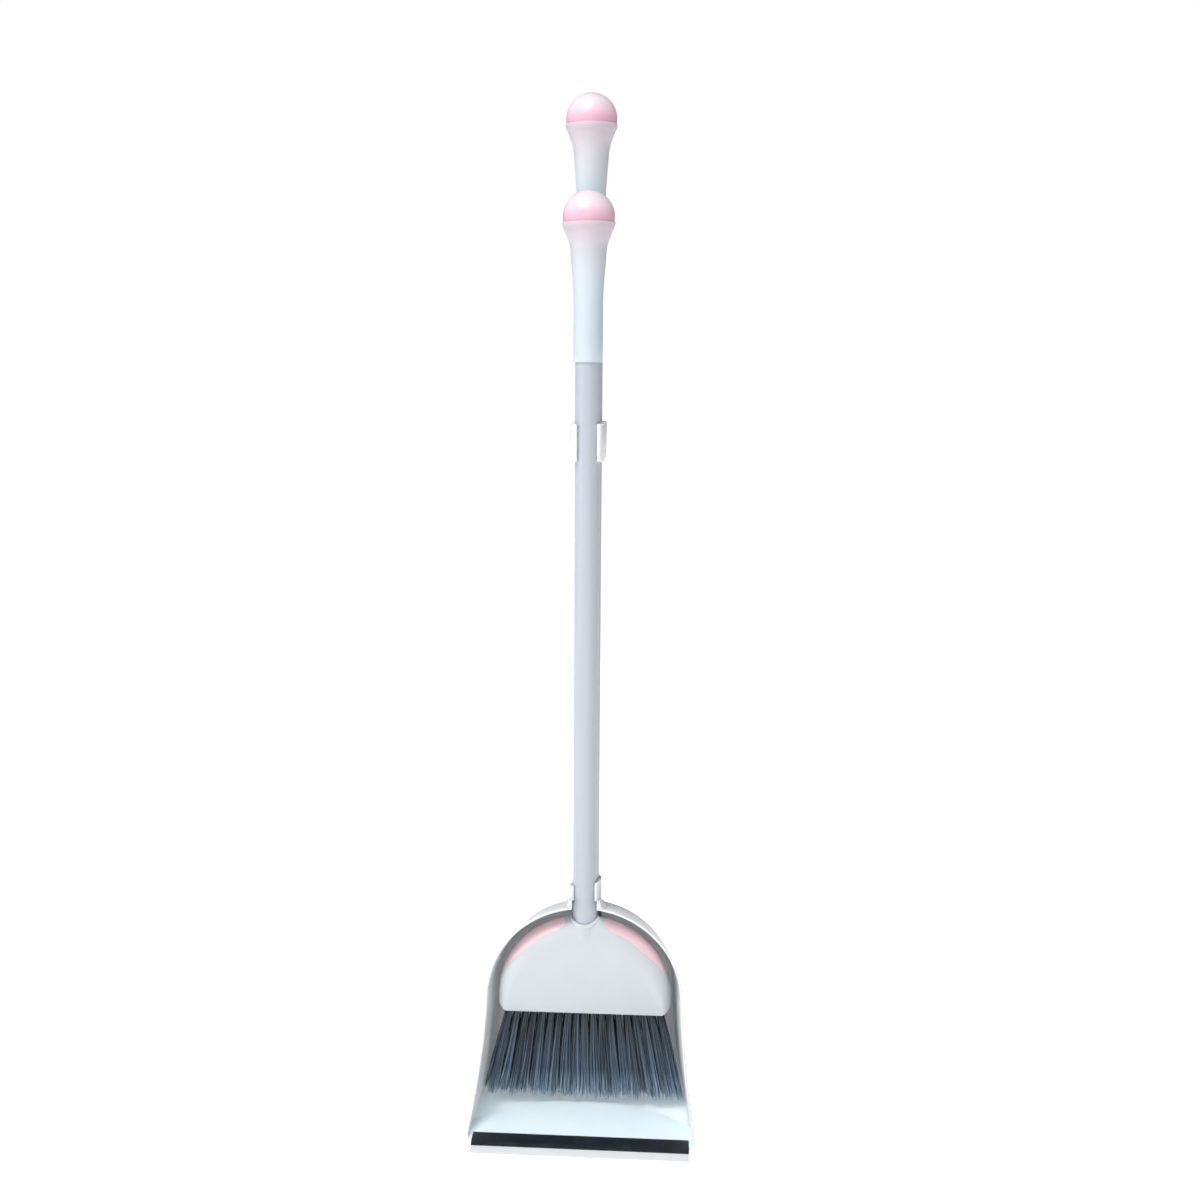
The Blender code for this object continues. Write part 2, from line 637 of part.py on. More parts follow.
def make_bristles(parent):
    """Makes the block that closes the cover's mouth and the rows of tufts set in it."""
    low = HEAD_BOTTOM_Z + 0.0010
    centre_x = BLOCK_HALF_WIDTH - BLOCK_CORNER
    centre_y = BLOCK_DEPTH / 2 - BLOCK_CORNER
    outline = []
    for quarter, (x, y) in enumerate(((1, 1), (-1, 1), (-1, -1), (1, -1))):
        start = quarter * math.pi / 2
        outline += arc(x * centre_x, y * centre_y, BLOCK_CORNER, start, start + math.pi / 2, 6)
    block = extruded("bristle_block", [outline], low, BLOCK_TOP_Z, NATURAL_PLASTIC, parent)
    for index, x in enumerate((-HEAD_SCREW_X, HEAD_SCREW_X)):
        hole = rod(f"block_screw_hole_{index + 1}", SCREW_R + GAP, -0.02, 0.02, parent)
        place_head_screw(hole, x)
        combine(block, hole, "DIFFERENCE")
        screw = make_screw(f"head_screw_{index + 1}", parent)
        place_head_screw(screw, x)
    top = low - GAP
    spread = (TIP_HALF_WIDTH - ROOT_HALF_WIDTH) / (top - TIP_Z)
    points = [(ROOT_HALF_WIDTH, top), (-ROOT_HALF_WIDTH, top)]
    for tuft in range(TUFTS_PER_ROW):
        sides = [2 * (tuft + part) / TUFTS_PER_ROW - 1 for part in (0.06, 0.94)]
        for side in sides:
            points.append((side * TIP_HALF_WIDTH, TIP_Z))
        if tuft < TUFTS_PER_ROW - 1:
            between = 2 * (tuft + 1) / TUFTS_PER_ROW - 1
            reach = ROOT_HALF_WIDTH + spread * (top - TUFT_SPLIT_Z)
            points.append((between * reach, TUFT_SPLIT_Z))
    for row in range(TUFT_ROWS):
        tufts = upright(f"bristle_row_{row + 1}", points, ROW_DEPTH, GREY_BRISTLE, parent)
        tufts.location.y = (row - (TUFT_ROWS - 1) / 2) * ROW_SPACING


def build():
    """Builds the whole set: the pan, the clip on its pole, the brush's stick and the brush's head."""
    pan = make_axis("pan_origin", (0.0, 0.0, 0.0))
    pan_axis = make_axis("pan_pole_axis", (0.0, PAN_POLE_Y, 0.0))
    stick = make_axis("brush_stick_axis", (0.0, BROOM_Y, 0.0))
    head = make_axis("brush_head_axis", (0.0, BROOM_Y, 0.0))

    make_pan_shell(pan)
    make_lip(pan)
    make_neck_clip(pan)
    make_pole_clip(pan)
    make_pole("pan_pole", SOCKET_FLOOR_Z + GAP, PAN_TOP_Z - POLE_END_BELOW_TOP, pan_axis)
    make_plug("pan_pole_plug", SOCKET_FLOOR_Z + 2 * GAP, pan_axis)
    make_handle("pan", PAN_TOP_Z, pan_axis)

    make_pole("brush_pole", HEAD_SEAT_Z + GAP, BROOM_TOP_Z - POLE_END_BELOW_TOP, stick)
    make_plug("brush_pole_plug", HEAD_SEAT_Z + 2 * GAP, stick)
    make_handle("brush", BROOM_TOP_Z, stick)

    make_head(head)
    make_bristles(head)


build()
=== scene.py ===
"""Looks of a standing dust pan with a long-handled brush clipped in front of its pole.

The moving frame comes packed; this script dresses it with finely made pieces, their finishes, a plain
studio and a camera. Everything is in metres, +Z up, and the pan's mouth faces -Y.
"""

from __future__ import annotations

import logging
import math
import random
from dataclasses import dataclass, field
from enum import Enum
from typing import Sequence

import bmesh
import bpy
from mathutils import Matrix, Vector


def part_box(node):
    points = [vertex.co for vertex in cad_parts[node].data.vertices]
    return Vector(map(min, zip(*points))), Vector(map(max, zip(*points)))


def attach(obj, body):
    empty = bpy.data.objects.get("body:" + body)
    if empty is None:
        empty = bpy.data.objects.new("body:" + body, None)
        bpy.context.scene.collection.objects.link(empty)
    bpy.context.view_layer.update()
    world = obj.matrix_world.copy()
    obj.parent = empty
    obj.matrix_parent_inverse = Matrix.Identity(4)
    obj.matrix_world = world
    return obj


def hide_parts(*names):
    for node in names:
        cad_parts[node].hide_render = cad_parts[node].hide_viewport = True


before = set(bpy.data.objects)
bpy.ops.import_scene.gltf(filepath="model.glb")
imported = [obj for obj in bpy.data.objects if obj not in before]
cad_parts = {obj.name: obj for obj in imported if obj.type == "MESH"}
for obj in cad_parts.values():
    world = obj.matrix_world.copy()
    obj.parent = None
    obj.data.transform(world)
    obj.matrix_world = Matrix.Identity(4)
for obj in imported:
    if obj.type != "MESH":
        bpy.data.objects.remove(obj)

LOG = logging.getLogger("dust_pan_set")
MM = 0.001
FULL_TURN = 2 * math.pi
QUARTER_TURN = math.pi / 2
# Edges that bend more than this stay sharp under smooth shading.
SHARP_DEGREES = 38.0
# Points nearer than this become one.
WELD = 0.002 * MM
# A height above every piece, for cuts that run out at the top.
ABOVE_ALL = 300 * MM
# Real mould grain is about 0.1 mm; it is drawn 0.45 mm coarse so that it shows.
MOULD_GRAIN = 0.45 * MM
# Clouds that the flow of the melt leaves on the large mouldings.
FLOW_PATCH = 38 * MM

Point2 = tuple[float, float]
Ring = list[Vector]


class Side(Enum):
    """A side of the set, seen from in front of the pan's mouth."""

    LEFT = -1
    RIGHT = 1


class Body(Enum):
    """The moving bodies that pieces ride on."""

    PAN = "pan"
    CLIP = "pole_clip"
    STICK = "brush_stick"
    HEAD = "brush_head"


class Slot(Enum):
    """Names of the material slots."""

    WHITE_PLASTIC = "white_plastic"
    WHITE_LIP = "white_lip"
    BLACK_RUBBER = "black_rubber"
    COATED_TUBE = "coated_tube"
    GREY_PLASTIC = "grey_plastic"
    SLEEVE_PLASTIC = "sleeve_plastic"
    PINK_PLASTIC = "pink_plastic"
    ZINC_STEEL = "zinc_steel"
    GREY_BRISTLE = "grey_bristle"


class Carve(Enum):
    """What carving does with the other shape."""

    JOIN = "UNION"
    CUT = "DIFFERENCE"
    KEEP_COMMON = "INTERSECT"


# ---------------------------------------------------------------- finishes


def linear(hex_code: str) -> tuple[float, float, float, float]:
    """Turns an sRGB hex colour into the linear colour that shaders use.

    Args:
        hex_code: Six hex digits, with or without a leading hash.

    Returns:
        Linear red, green, blue and an alpha of one.
    """
    digits = hex_code.lstrip("#")
    channels = []
    for start in (0, 2, 4):
        value = int(digits[start : start + 2], 16) / 255
        channels.append(value / 12.92 if value <= 0.04045 else ((value + 0.055) / 1.055) ** 2.4)
    return (channels[0], channels[1], channels[2], 1.0)


def add_node(
    tree: bpy.types.NodeTree,
    kind: str,
    inputs: dict | None = None,
    links: dict | None = None,
    stops: Sequence[tuple[float, str]] = (),
    **settings: object,
) -> bpy.types.Node:
    """Adds a shader node with its settings, its input values and its incoming links.

    Args:
        tree: The node tree to add to.
        kind: The node's type, without the ShaderNode at its front.
        inputs: Values by input name or number.
        links: Output sockets by input name or number.
        stops: A colour ramp's positions and hex colours, in order.
        settings: Properties of the node itself.

    Returns:
        The new node.
    """
    made = tree.nodes.new("ShaderNode" + kind)
    for name, value in settings.items():
        setattr(made, name, value)
    for name, value in (inputs or {}).items():
        made.inputs[name].default_value = value
    for name, socket in (links or {}).items():
        tree.links.new(socket, made.inputs[name])
    for index, (position, colour) in enumerate(stops):
        if index >= len(made.color_ramp.elements):
            made.color_ramp.elements.new(position)
        made.color_ramp.elements[index].position = position
        made.color_ramp.elements[index].color = linear(colour)
    return made


def new_material(
    name: str, values: dict[str, object]
) -> tuple[bpy.types.Material, bpy.types.NodeTree, bpy.types.Node]:
    """Makes a material with nothing but a Principled BSDF and its output.

    Args:
        name: The material's name.
        values: Values of the shader's own sockets, by input name.

    Returns:
        The material, its node tree and its shader node.
    """
    material = bpy.data.materials.new(name)
    material.use_nodes = True
    tree = material.node_tree
    shader = tree.nodes["Principled BSDF"]
    for socket, value in values.items():
        shader.inputs[socket].default_value = value
    return material, tree, shader


def polypropylene(glow: float, reach: float, spread: Sequence[float] = (1.0, 0.2, 0.1)) -> dict[str, object]:
    """Gives the shader's values for polypropylene, which lets some light through.

    Args:
        glow: The share of the light that goes in.
        reach: How far it spreads inside, in metres.
        spread: How much of that reach red, green and blue light has.

    Returns:
        Values by input name.
    """
    # IOR 1.49 is polypropylene's.
    return {"IOR": 1.49, "Subsurface Weight": glow, "Subsurface Scale": reach, "Subsurface Radius": spread}


def mottle(
    tree: bpy.types.NodeTree,
    size: float,
    detail: float = 2.0,
    stretch: Sequence[float] = (1.0, 1.0, 1.0),
) -> bpy.types.NodeSocket:
    """Gives a random pattern fixed to the piece.

    Args:
        tree: The node tree to add to.
        size: How wide its patches are, in metres.
        detail: How much finer structure they hold.
        stretch: How many times narrower they are along each axis.

    Returns:
        A number socket from 0 to 1.
    """
    place = add_node(tree, "TexCoord")
    mapping = add_node(tree, "Mapping", {"Scale": stretch}, {"Vector": place.outputs["Object"]})
    values = {"Scale": 1 / size, "Detail": detail}
    noise = add_node(tree, "TexNoise", values, {"Vector": mapping.outputs["Vector"]})
    return noise.outputs["Fac"]


def height_share(tree: bpy.types.NodeTree, low: float, high: float) -> bpy.types.NodeSocket:
    """Gives 0 below one height, 1 above another and the share between them.

    Args:
        tree: The node tree to add to.
        low: Height of the 0, in metres.
        high: Height of the 1, in metres.

    Returns:
        A number socket.
    """
    place = add_node(tree, "TexCoord")
    split = add_node(tree, "SeparateXYZ", links={"Vector": place.outputs["Object"]})
    share = add_node(tree, "MapRange", {"From Min": low, "From Max": high}, {"Value": split.outputs["Z"]})
    return share.outputs["Result"]


def finish_skin(
    tree: bpy.types.NodeTree,
    shader: bpy.types.Node,
    colour: bpy.types.NodeSocket,
    wear: bpy.types.NodeSocket,
    roughness: tuple[float, float],
    relief: bpy.types.NodeSocket | None = None,
    depth: float = 0.0,
) -> None:
    """Gives a surface its colour, its uneven gloss and its fine relief.

    Args:
        tree: The node tree to add to.
        shader: The surface's shader.
        colour: The colour all over it.
        wear: The pattern that moves the roughness.
        roughness: The roughness where that pattern is 0 and where it is 1.
        relief: The pattern that stands up from the surface.
        depth: How far it stands up, in metres.
    """
    tree.links.new(colour, shader.inputs["Base Color"])
    low, high = roughness
    spread = add_node(tree, "MapRange", {"To Min": low, "To Max": high}, {"Value": wear})
    tree.links.new(spread.outputs["Result"], shader.inputs["Roughness"])
    if relief is not None:
        bump = add_node(tree, "Bump", {"Distance": depth, "Strength": 0.4}, {"Height": relief})
        tree.links.new(bump.outputs["Normal"], shader.inputs["Normal"])


@dataclass(frozen=True)
class MouldedPolypropylene:
    """Polypropylene from a satin mould.

    The resin lets some light through, so thin walls and edges glow, and the mould's spark-eroded skin breaks
    up the highlights. Flow of the melt leaves faint cloudy bands.
    """

    name: str
    base: str
    cloud: str
    roughness: float = 0.38
    glow: float = 0.55

    def make(self) -> bpy.types.Material:
        """Makes the material."""
        values = polypropylene(self.glow, 5 * MM, (1.0, 1.0, 1.0))
        material, tree, shader = new_material(self.name, values)
        flow = mottle(tree, FLOW_PATCH, 3.0)
        stops = ((0.3, self.base), (0.7, self.cloud))
        colour = add_node(tree, "ValToRGB", links={"Fac": flow}, stops=stops).outputs["Color"]
        gloss = (self.roughness - 0.05, self.roughness + 0.08)
        finish_skin(tree, shader, colour, flow, gloss, mottle(tree, MOULD_GRAIN), 0.04 * MM)
        return material


@dataclass(frozen=True)
class HoodPolypropylene:
    """White polypropylene of the pan, from the same satin mould skin.

    Its thin floor is painted paler and cooler as painted light from the sky it faces, fading out up the
    walls, and its walls let light through.
    """

    name: str = "white_hood_polypropylene"
    painted_light_low: float = 7 * MM
    painted_light_high: float = 34 * MM

    def make(self) -> bpy.types.Material:
        """Makes the material."""
        material, tree, shader = new_material(self.name, polypropylene(0.60, 9 * MM, (1.0, 1.0, 1.0)))
        share = height_share(tree, self.painted_light_low, self.painted_light_high)
        # Painted light: the low floor is painted paler and bluer than the walls for the light from above,
        # fading to the walls' grey-white between the two heights.
        tint = ((0.0, "#E9F5FB"), (0.25, "#E8F1F6"), (1.0, "#E3E6E7"))
        tinted = add_node(tree, "ValToRGB", links={"Fac": share}, stops=tint).outputs["Color"]
        flow = mottle(tree, FLOW_PATCH, 3.0)
        clouds = ((0.3, "#FFFFFF"), (0.7, "#FAFBFC"))
        cloudy = add_node(tree, "ValToRGB", links={"Fac": flow}, stops=clouds).outputs["Color"]
        both = {"A": tinted, "B": cloudy}
        colour = add_node(tree, "Mix", {"Factor": 1.0}, both, data_type="RGBA", blend_type="MULTIPLY")
        grain = mottle(tree, MOULD_GRAIN)
        finish_skin(tree, shader, colour.outputs["Result"], flow, (0.34, 0.46), grain, 0.04 * MM)
        return material


@dataclass(frozen=True)
class TintedSleeve:
    """White plastic of the handle sleeves, with pink from the ball's resin bled into the flare under it."""

    name: str
    top: float
    fade: float = 62 * MM

    def make(self) -> bpy.types.Material:
        """Makes the material."""
        material, tree, shader = new_material(self.name, polypropylene(0.25, 4 * MM))
        share = height_share(tree, self.top - self.fade, self.top)
        stops = ((0.0, "#C3CED6"), (0.30, "#C6CBD1"), (0.70, "#C4C0C6"), (0.93, "#C0B2B9"), (1.0, "#D6C0CA"))
        colour = add_node(tree, "ValToRGB", links={"Fac": share}, stops=stops).outputs["Color"]
        # Handles come from polished moulds: their grain is shallower than the pan's.
        wear = mottle(tree, 18 * MM, 3.0)
        finish_skin(tree, shader, colour, wear, (0.28, 0.42), mottle(tree, 0.5 * MM), 0.02 * MM)
        return material


@dataclass(frozen=True)
class MilkyPinkBall:
    """Milky pink polypropylene of the balls, glossy, painted paler towards the top of the dome as painted
    light from above.
    """

    name: str
    low: float
    high: float

    def make(self) -> bpy.types.Material:
        """Makes the material."""
        material, tree, shader = new_material(self.name, polypropylene(0.45, 6 * MM, (1.0, 0.75, 0.82)))
        share = height_share(tree, self.low, self.high)
        # Painted light from above: deeper pink low on the ball, near white at the top of the dome.
        stops = ((0.0, "#D6A6B6"), (0.16, "#DCB0C0"), (0.45, "#E9CFD9"), (0.70, "#EBDDE3"), (1.0, "#ECE1E6"))
        colour = add_node(tree, "ValToRGB", links={"Fac": share}, stops=stops).outputs["Color"]
        wear = mottle(tree, 14 * MM, 3.0)
        finish_skin(tree, shader, colour, wear, (0.24, 0.36), mottle(tree, 0.6 * MM), 0.01 * MM)
        return material


@dataclass(frozen=True)
class PinkInlay:
    """Pale pink polypropylene of the head's inserts, satin, with a slightly deeper tone in places."""

    name: str = "pale_pink_polypropylene"
    light: str = "#F4CFD3"
    deep: str = "#EFC4CA"

    def make(self) -> bpy.types.Material:
        """Makes the material."""
        material, tree, shader = new_material(self.name, polypropylene(0.35, 4 * MM))
        swirl = mottle(tree, 16 * MM, 3.0)
        stops = ((0.3, self.light), (0.72, self.deep))
        colour = add_node(tree, "ValToRGB", links={"Fac": swirl}, stops=stops).outputs["Color"]
        finish_skin(tree, shader, colour, swirl, (0.34, 0.46), mottle(tree, MOULD_GRAIN), 0.03 * MM)
        return material


@dataclass(frozen=True)
class CoatedSteel:
    """Steel tube under a baked lilac-grey coating, which dries with a fine orange-peel skin."""

    name: str
    base: str = "#B3B8C1"
    cloud: str = "#AEB2BC"

    def make(self) -> bpy.types.Material:
        """Makes the material."""
        # IOR 1.50 is that of a baked coating.
        values = {"IOR": 1.50, "Coat Weight": 0.15, "Coat Roughness": 0.20}
        material, tree, shader = new_material(self.name, values)
        # Long faint streaks run down the tube, as the coating is drawn on lengthwise.
        streak = mottle(tree, 6 * MM, 3.0, (1.0, 1.0, 0.03))
        stops = ((0.3, self.base), (0.75, self.cloud))
        colour = add_node(tree, "ValToRGB", links={"Fac": streak}, stops=stops).outputs["Color"]
        finish_skin(tree, shader, colour, streak, (0.32, 0.44), mottle(tree, 1.2 * MM, 1.0), 0.03 * MM)
        return material


@dataclass(frozen=True)
class ExtrudedRubber:
    """Soft strip extruded lengthwise, with the die's fine lines and a dusty bloom towards its edge."""

    name: str
    base: str
    bloom: str
    roughness: float

    def make(self) -> bpy.types.Material:
        """Makes the material."""
        # IOR 1.52 is that of rubber and soft vinyl.
        material, tree, shader = new_material(self.name, {"IOR": 1.52})
        lines = mottle(tree, 1.6 * MM, 4.0, (0.02, 1.0, 1.0))
        dust = mottle(tree, 9 * MM, 5.0)
        both = add_node(tree, "Math", links={0: lines, 1: dust}, operation="MULTIPLY")
        stops = ((0.18, self.base), (0.55, self.bloom))
        share = both.outputs["Value"]
        colour = add_node(tree, "ValToRGB", links={"Fac": share}, stops=stops).outputs["Color"]
        gloss = (self.roughness - 0.08, self.roughness + 0.10)
        finish_skin(tree, shader, colour, dust, gloss, lines, 0.08 * MM)
        return material


@dataclass(frozen=True)
class BristleFilament:
    """Grey-blue polyester filament, paler and split at the flagged tips, and painted darker towards the roots
    as painted shade where the filaments crowd.
    """

    name: str
    root: float
    tip: float

    def make(self) -> bpy.types.Material:
        """Makes the material."""
        # IOR 1.57 is polyester's.
        values = {"IOR": 1.57, "Roughness": 0.45, "Sheen Weight": 0.15}
        material, tree, shader = new_material(self.name, values)
        share = height_share(tree, self.tip, self.root)
        # Paler at the flagged tips; the dark colour towards the roots is painted shade.
        stops = ((0.0, "#E2F4FF"), (0.12, "#C0DCEF"), (0.36, "#7A8EA6"), (0.70, "#5A6A7A"), (1.0, "#4A555D"))
        along = add_node(tree, "ValToRGB", links={"Fac": share}, stops=stops).outputs["Color"]
        strand = add_node(tree, "NewGeometry").outputs["Random Per Island"]
        stops = ((0.0, "#3E444B"), (0.35, "#8E97A2"), (0.75, "#E4E9EF"), (1.0, "#FFFFFF"))
        tint = add_node(tree, "ValToRGB", links={"Fac": strand}, stops=stops).outputs["Color"]
        both = {"A": along, "B": tint}
        mix = add_node(tree, "Mix", {"Factor": 1.0}, both, data_type="RGBA", blend_type="MULTIPLY")
        tree.links.new(mix.outputs["Result"], shader.inputs["Base Color"])
        return material


@dataclass(frozen=True)
class ZincPlate:
    """Bright zinc on a steel screw, with the fine swirl that tumbling leaves."""

    name: str = "zinc_plated_steel"

    def make(self) -> bpy.types.Material:
        """Makes the material."""
        material, tree, shader = new_material(self.name, {"Metallic": 1.0})
        swirl = mottle(tree, 0.8 * MM, 3.0)
        stops = ((0.3, "#B9BCC2"), (0.7, "#D5D8DC"))
        colour = add_node(tree, "ValToRGB", links={"Fac": swirl}, stops=stops).outputs["Color"]
        finish_skin(tree, shader, colour, swirl, (0.22, 0.38))
        return material


# ---------------------------------------------------------------- shapes


def arc(centre: Point2, radius: float, start: float, end: float, steps: int) -> list[Point2]:
    """Returns points on an arc.

    Args:
        centre: The arc's centre.
        radius: Its radius.
        start: Its first angle, counted from the first axis.
        end: Its last angle.
        steps: How many chords it is drawn with.

    Returns:
        One point more than there are steps.
    """
    angles = [start + (end - start) * step / steps for step in range(steps + 1)]
    return [(centre[0] + radius * math.cos(a), centre[1] + radius * math.sin(a)) for a in angles]


def rectangle(low: Point2, high: Point2) -> list[Point2]:
    """Returns a rectangle's corners in turn, from its low one on."""
    return [low, (high[0], low[1]), high, (low[0], high[1])]


def smooth_path(points: Sequence[Point2], steps: int = 6) -> list[Point2]:
    """Draws a smooth curve through a few points.

    Args:
        points: The points that the curve passes through.
        steps: How many chords each stretch is drawn with.

    Returns:
        The curve's points.
    """
    padded = [points[0], *points, points[-1]]
    curve = []
    for a, b, c, d in zip(padded, padded[1:], padded[2:], padded[3:]):
        for step in range(steps):
            t = step / steps
            weights = (
                -0.5 * t + t * t - 0.5 * t**3,
                1 - 2.5 * t * t + 1.5 * t**3,
                0.5 * t + 2 * t * t - 1.5 * t**3,
                -0.5 * t * t + 0.5 * t**3,
            )
            curve.append(tuple(sum(w * p[axis] for w, p in zip(weights, (a, b, c, d))) for axis in (0, 1)))
    return [*curve, tuple(points[-1])]


def rounded_path(
    points: Sequence[Point2], radius: float, closed: bool = False, steps: int = 4
) -> list[Point2]:
    """Rounds a path's corners.

    Args:
        points: The path's corners.
        radius: The corners' radius, made smaller where a side is too short for it.
        closed: Whether the last point joins the first.
        steps: How many chords each corner is drawn with.

    Returns:
        The rounded path's points.
    """
    count = len(points)
    path: list[Point2] = []
    for index, corner in enumerate(points):
        here = Vector(corner)
        before = Vector(points[index - 1]) - here
        after = Vector(points[(index + 1) % count]) - here
        is_end = not closed and index in (0, count - 1)
        if is_end or before.length * after.length == 0:
            path.append((here.x, here.y))
            continue
        turn = math.pi - before.angle(after)
        reach = min(radius * math.tan(turn / 2), 0.45 * before.length, 0.45 * after.length)
        if turn < math.radians(8) or reach <= 0:
            path.append((here.x, here.y))
            continue
        start = here + before.normalized() * reach
        end = here + after.normalized() * reach
        for step in range(steps + 1):
            t = step / steps
            point = start.lerp(here, t).lerp(here.lerp(end, t), t)
            path.append((point.x, point.y))
    return path


def add_object(name: str, data: bpy.types.ID) -> bpy.types.Object:
    """Puts a new object with this data into the scene."""
    made = bpy.data.objects.new(name, data)
    bpy.context.scene.collection.objects.link(made)
    return made


def shade(mesh: bpy.types.Mesh, sharp_degrees: float = SHARP_DEGREES) -> None:
    """Shades a mesh smooth but for its sharp edges."""
    mesh.shade_smooth()
    mesh.set_sharp_from_angle(angle=math.radians(sharp_degrees))


def inward_steps(outline: Sequence[Point2]) -> list[Vector]:
    """Returns, for each point of a closed outline in x and z, the unit step towards its inside."""
    steps = []
    count = len(outline)
    for index in range(count):
        before = Vector(outline[index - 1])
        after = Vector(outline[(index + 1) % count])
        along = (after - before).normalized()
        steps.append(Vector((-along.y, 0.0, along.x)))
    return steps


def piece_from(
    name: str, work: bmesh.types.BMesh, sharp_degrees: float = SHARP_DEGREES
) -> bpy.types.Object:
    """Makes a smooth-shaded object from a finished working mesh.

    Args:
        name: The piece's name.
        work: The working mesh, which is freed.
        sharp_degrees: Edges that bend more than this stay sharp.

    Returns:
        The new object.
    """
    bmesh.ops.recalc_face_normals(work, faces=work.faces)
    mesh = bpy.data.meshes.new(name)
    work.to_mesh(mesh)
    work.free()
    shade(mesh, sharp_degrees)
    return add_object(name, mesh)


def add_loft(work: bmesh.types.BMesh, rings: Sequence[Ring]) -> list[list]:
    """Joins closed rings of equal length with faces.

    Args:
        work: The working mesh to add to.
        rings: The rings, in order.

    Returns:
        The vertices of each ring.
    """
    rows = [[work.verts.new(point) for point in ring] for ring in rings]
    for near, far in zip(rows, rows[1:]):
        for i in range(len(near)):
            j = (i + 1) % len(near)
            work.faces.new((near[i], near[j], far[j], far[i]))
    return rows


def add_capped_loft(work: bmesh.types.BMesh, rings: Sequence[Ring]) -> None:
    """Joins rings of equal length and closes both ends."""
    rows = add_loft(work, rings)
    work.faces.new(rows[0])
    work.faces.new(list(reversed(rows[-1])))


def capped_loft(
    name: str, rings: Sequence[Ring], sharp_degrees: float = SHARP_DEGREES
) -> bpy.types.Object:
    """Makes a solid piece from rings.

    Args:
        name: The piece's name.
        rings: The rings, in order.
        sharp_degrees: Edges that bend more than this stay sharp.

    Returns:
        The piece.
    """
    work = bmesh.new()
    add_capped_loft(work, rings)
    return piece_from(name, work, sharp_degrees)


def lathe(name: str, profile: Sequence[Point2], centre: Point2, steps: int = 96) -> bpy.types.Object:
    """Turns a profile about an upright axis.

    Args:
        name: The piece's name.
        profile: (radius, height) points; a profile that doesn't start and end on the axis is closed.
        centre: The axis's place in x and y.
        steps: How many sides the piece has.

    Returns:
        The turned piece.
    """
    work = bmesh.new()
    points = list(profile)
    if points[0][0] > 0:
        points.append(points[0])
    verts = [work.verts.new((radius, 0.0, height)) for radius, height in points]
    edges = [work.edges.new(pair) for pair in zip(verts, verts[1:])]
    turned = {"axis": (0, 0, 1), "cent": (0, 0, 0), "angle": FULL_TURN, "steps": steps}
    bmesh.ops.spin(work, geom=verts + edges, use_merge=True, **turned)
    bmesh.ops.remove_doubles(work, verts=work.verts, dist=WELD)
    bmesh.ops.translate(work, vec=(centre[0], centre[1], 0.0), verts=work.verts)
    return piece_from(name, work)


def flat_cut(name: str, outlines: Sequence[Sequence[Point2]], low: float, high: float) -> bpy.types.Object:
    """Cuts a plate with square edges to flat outlines in x and y.

    Args:
        name: The piece's name.
        outlines: The outer outline, and any holes.
        low: Height of its underside.
        high: Height of its top.

    Returns:
        The plate.
    """
    curve = bpy.data.curves.new(name, "CURVE")
    curve.dimensions = "2D"
    curve.fill_mode = "BOTH"
    curve.extrude = (high - low) / 2
    for outline in outlines:
        spline = curve.splines.new("POLY")
        spline.points.add(len(outline) - 1)
        for point, place in zip(spline.points, outline):
            point.co = (place[0], place[1], 0.0, 1.0)
        spline.use_cyclic_u = True
    guide = add_object(name, curve)
    evaluated = guide.evaluated_get(bpy.context.evaluated_depsgraph_get())
    mesh = bpy.data.meshes.new_from_object(evaluated)
    bpy.data.objects.remove(guide, do_unlink=True)
    bpy.data.curves.remove(curve)
    work = bmesh.new()
    work.from_mesh(mesh)
    bpy.data.meshes.remove(mesh)
    bmesh.ops.remove_doubles(work, verts=work.verts, dist=WELD)
    bmesh.ops.translate(work, vec=(0.0, 0.0, (low + high) / 2), verts=work.verts)
    return piece_from(name, work)


def turn_upright(piece: bpy.types.Object) -> bpy.types.Object:
    """Lays a plate cut in x and y into x and z, so that its thickness runs along y."""
    piece.data.transform(Matrix.Rotation(QUARTER_TURN, 4, "X"))
    return piece


def turn_sideways(piece: bpy.types.Object) -> bpy.types.Object:
    """Lays a plate cut in x and y into y and z, so that its thickness runs along x."""
    to_side = Matrix(((0, 0, 1, 0), (1, 0, 0, 0), (0, 1, 0, 0), (0, 0, 0, 1)))
    piece.data.transform(to_side)
    return piece


def apply_modifiers(piece: bpy.types.Object) -> bpy.types.Object:
    """Makes a piece's modifiers part of its mesh."""
    evaluated = piece.evaluated_get(bpy.context.evaluated_depsgraph_get())
    mesh = bpy.data.meshes.new_from_object(evaluated)
    old = piece.data
    piece.modifiers.clear()
    piece.data = mesh
    bpy.data.meshes.remove(old)
    mesh.name = piece.name
    return piece


def carve(piece: bpy.types.Object, tool: bpy.types.Object, way: Carve) -> bpy.types.Object:
    """Adds, takes away or keeps the common part of another shape, which is used up.

    Args:
        piece: The piece to change.
        tool: The other shape.
        way: Whether to join it, cut it away or keep what both share.

    Returns:
        The changed piece.
    """
    boolean = piece.modifiers.new("carving", "BOOLEAN")
    boolean.object = tool
    boolean.operation = way.value
    boolean.solver = "EXACT"
    apply_modifiers(piece)
    bpy.data.objects.remove(tool, do_unlink=True)
    return piece


def soften_edges(piece: bpy.types.Object, width: float, steps: int = 2) -> bpy.types.Object:
    """Rounds the edges of a piece that bend by more than 50 degrees.

    Args:
        piece: The piece to change.
        width: How far the rounding reaches from an edge.
        steps: How many strips it is drawn with.

    Returns:
        The changed piece.
    """
    bevel = piece.modifiers.new("soft_edges", "BEVEL")
    bevel.width = width
    bevel.segments = steps
    bevel.limit_method = "ANGLE"
    bevel.angle_limit = math.radians(50)
    bevel.use_clamp_overlap = True
    apply_modifiers(piece)
    shade(piece.data)
    return piece


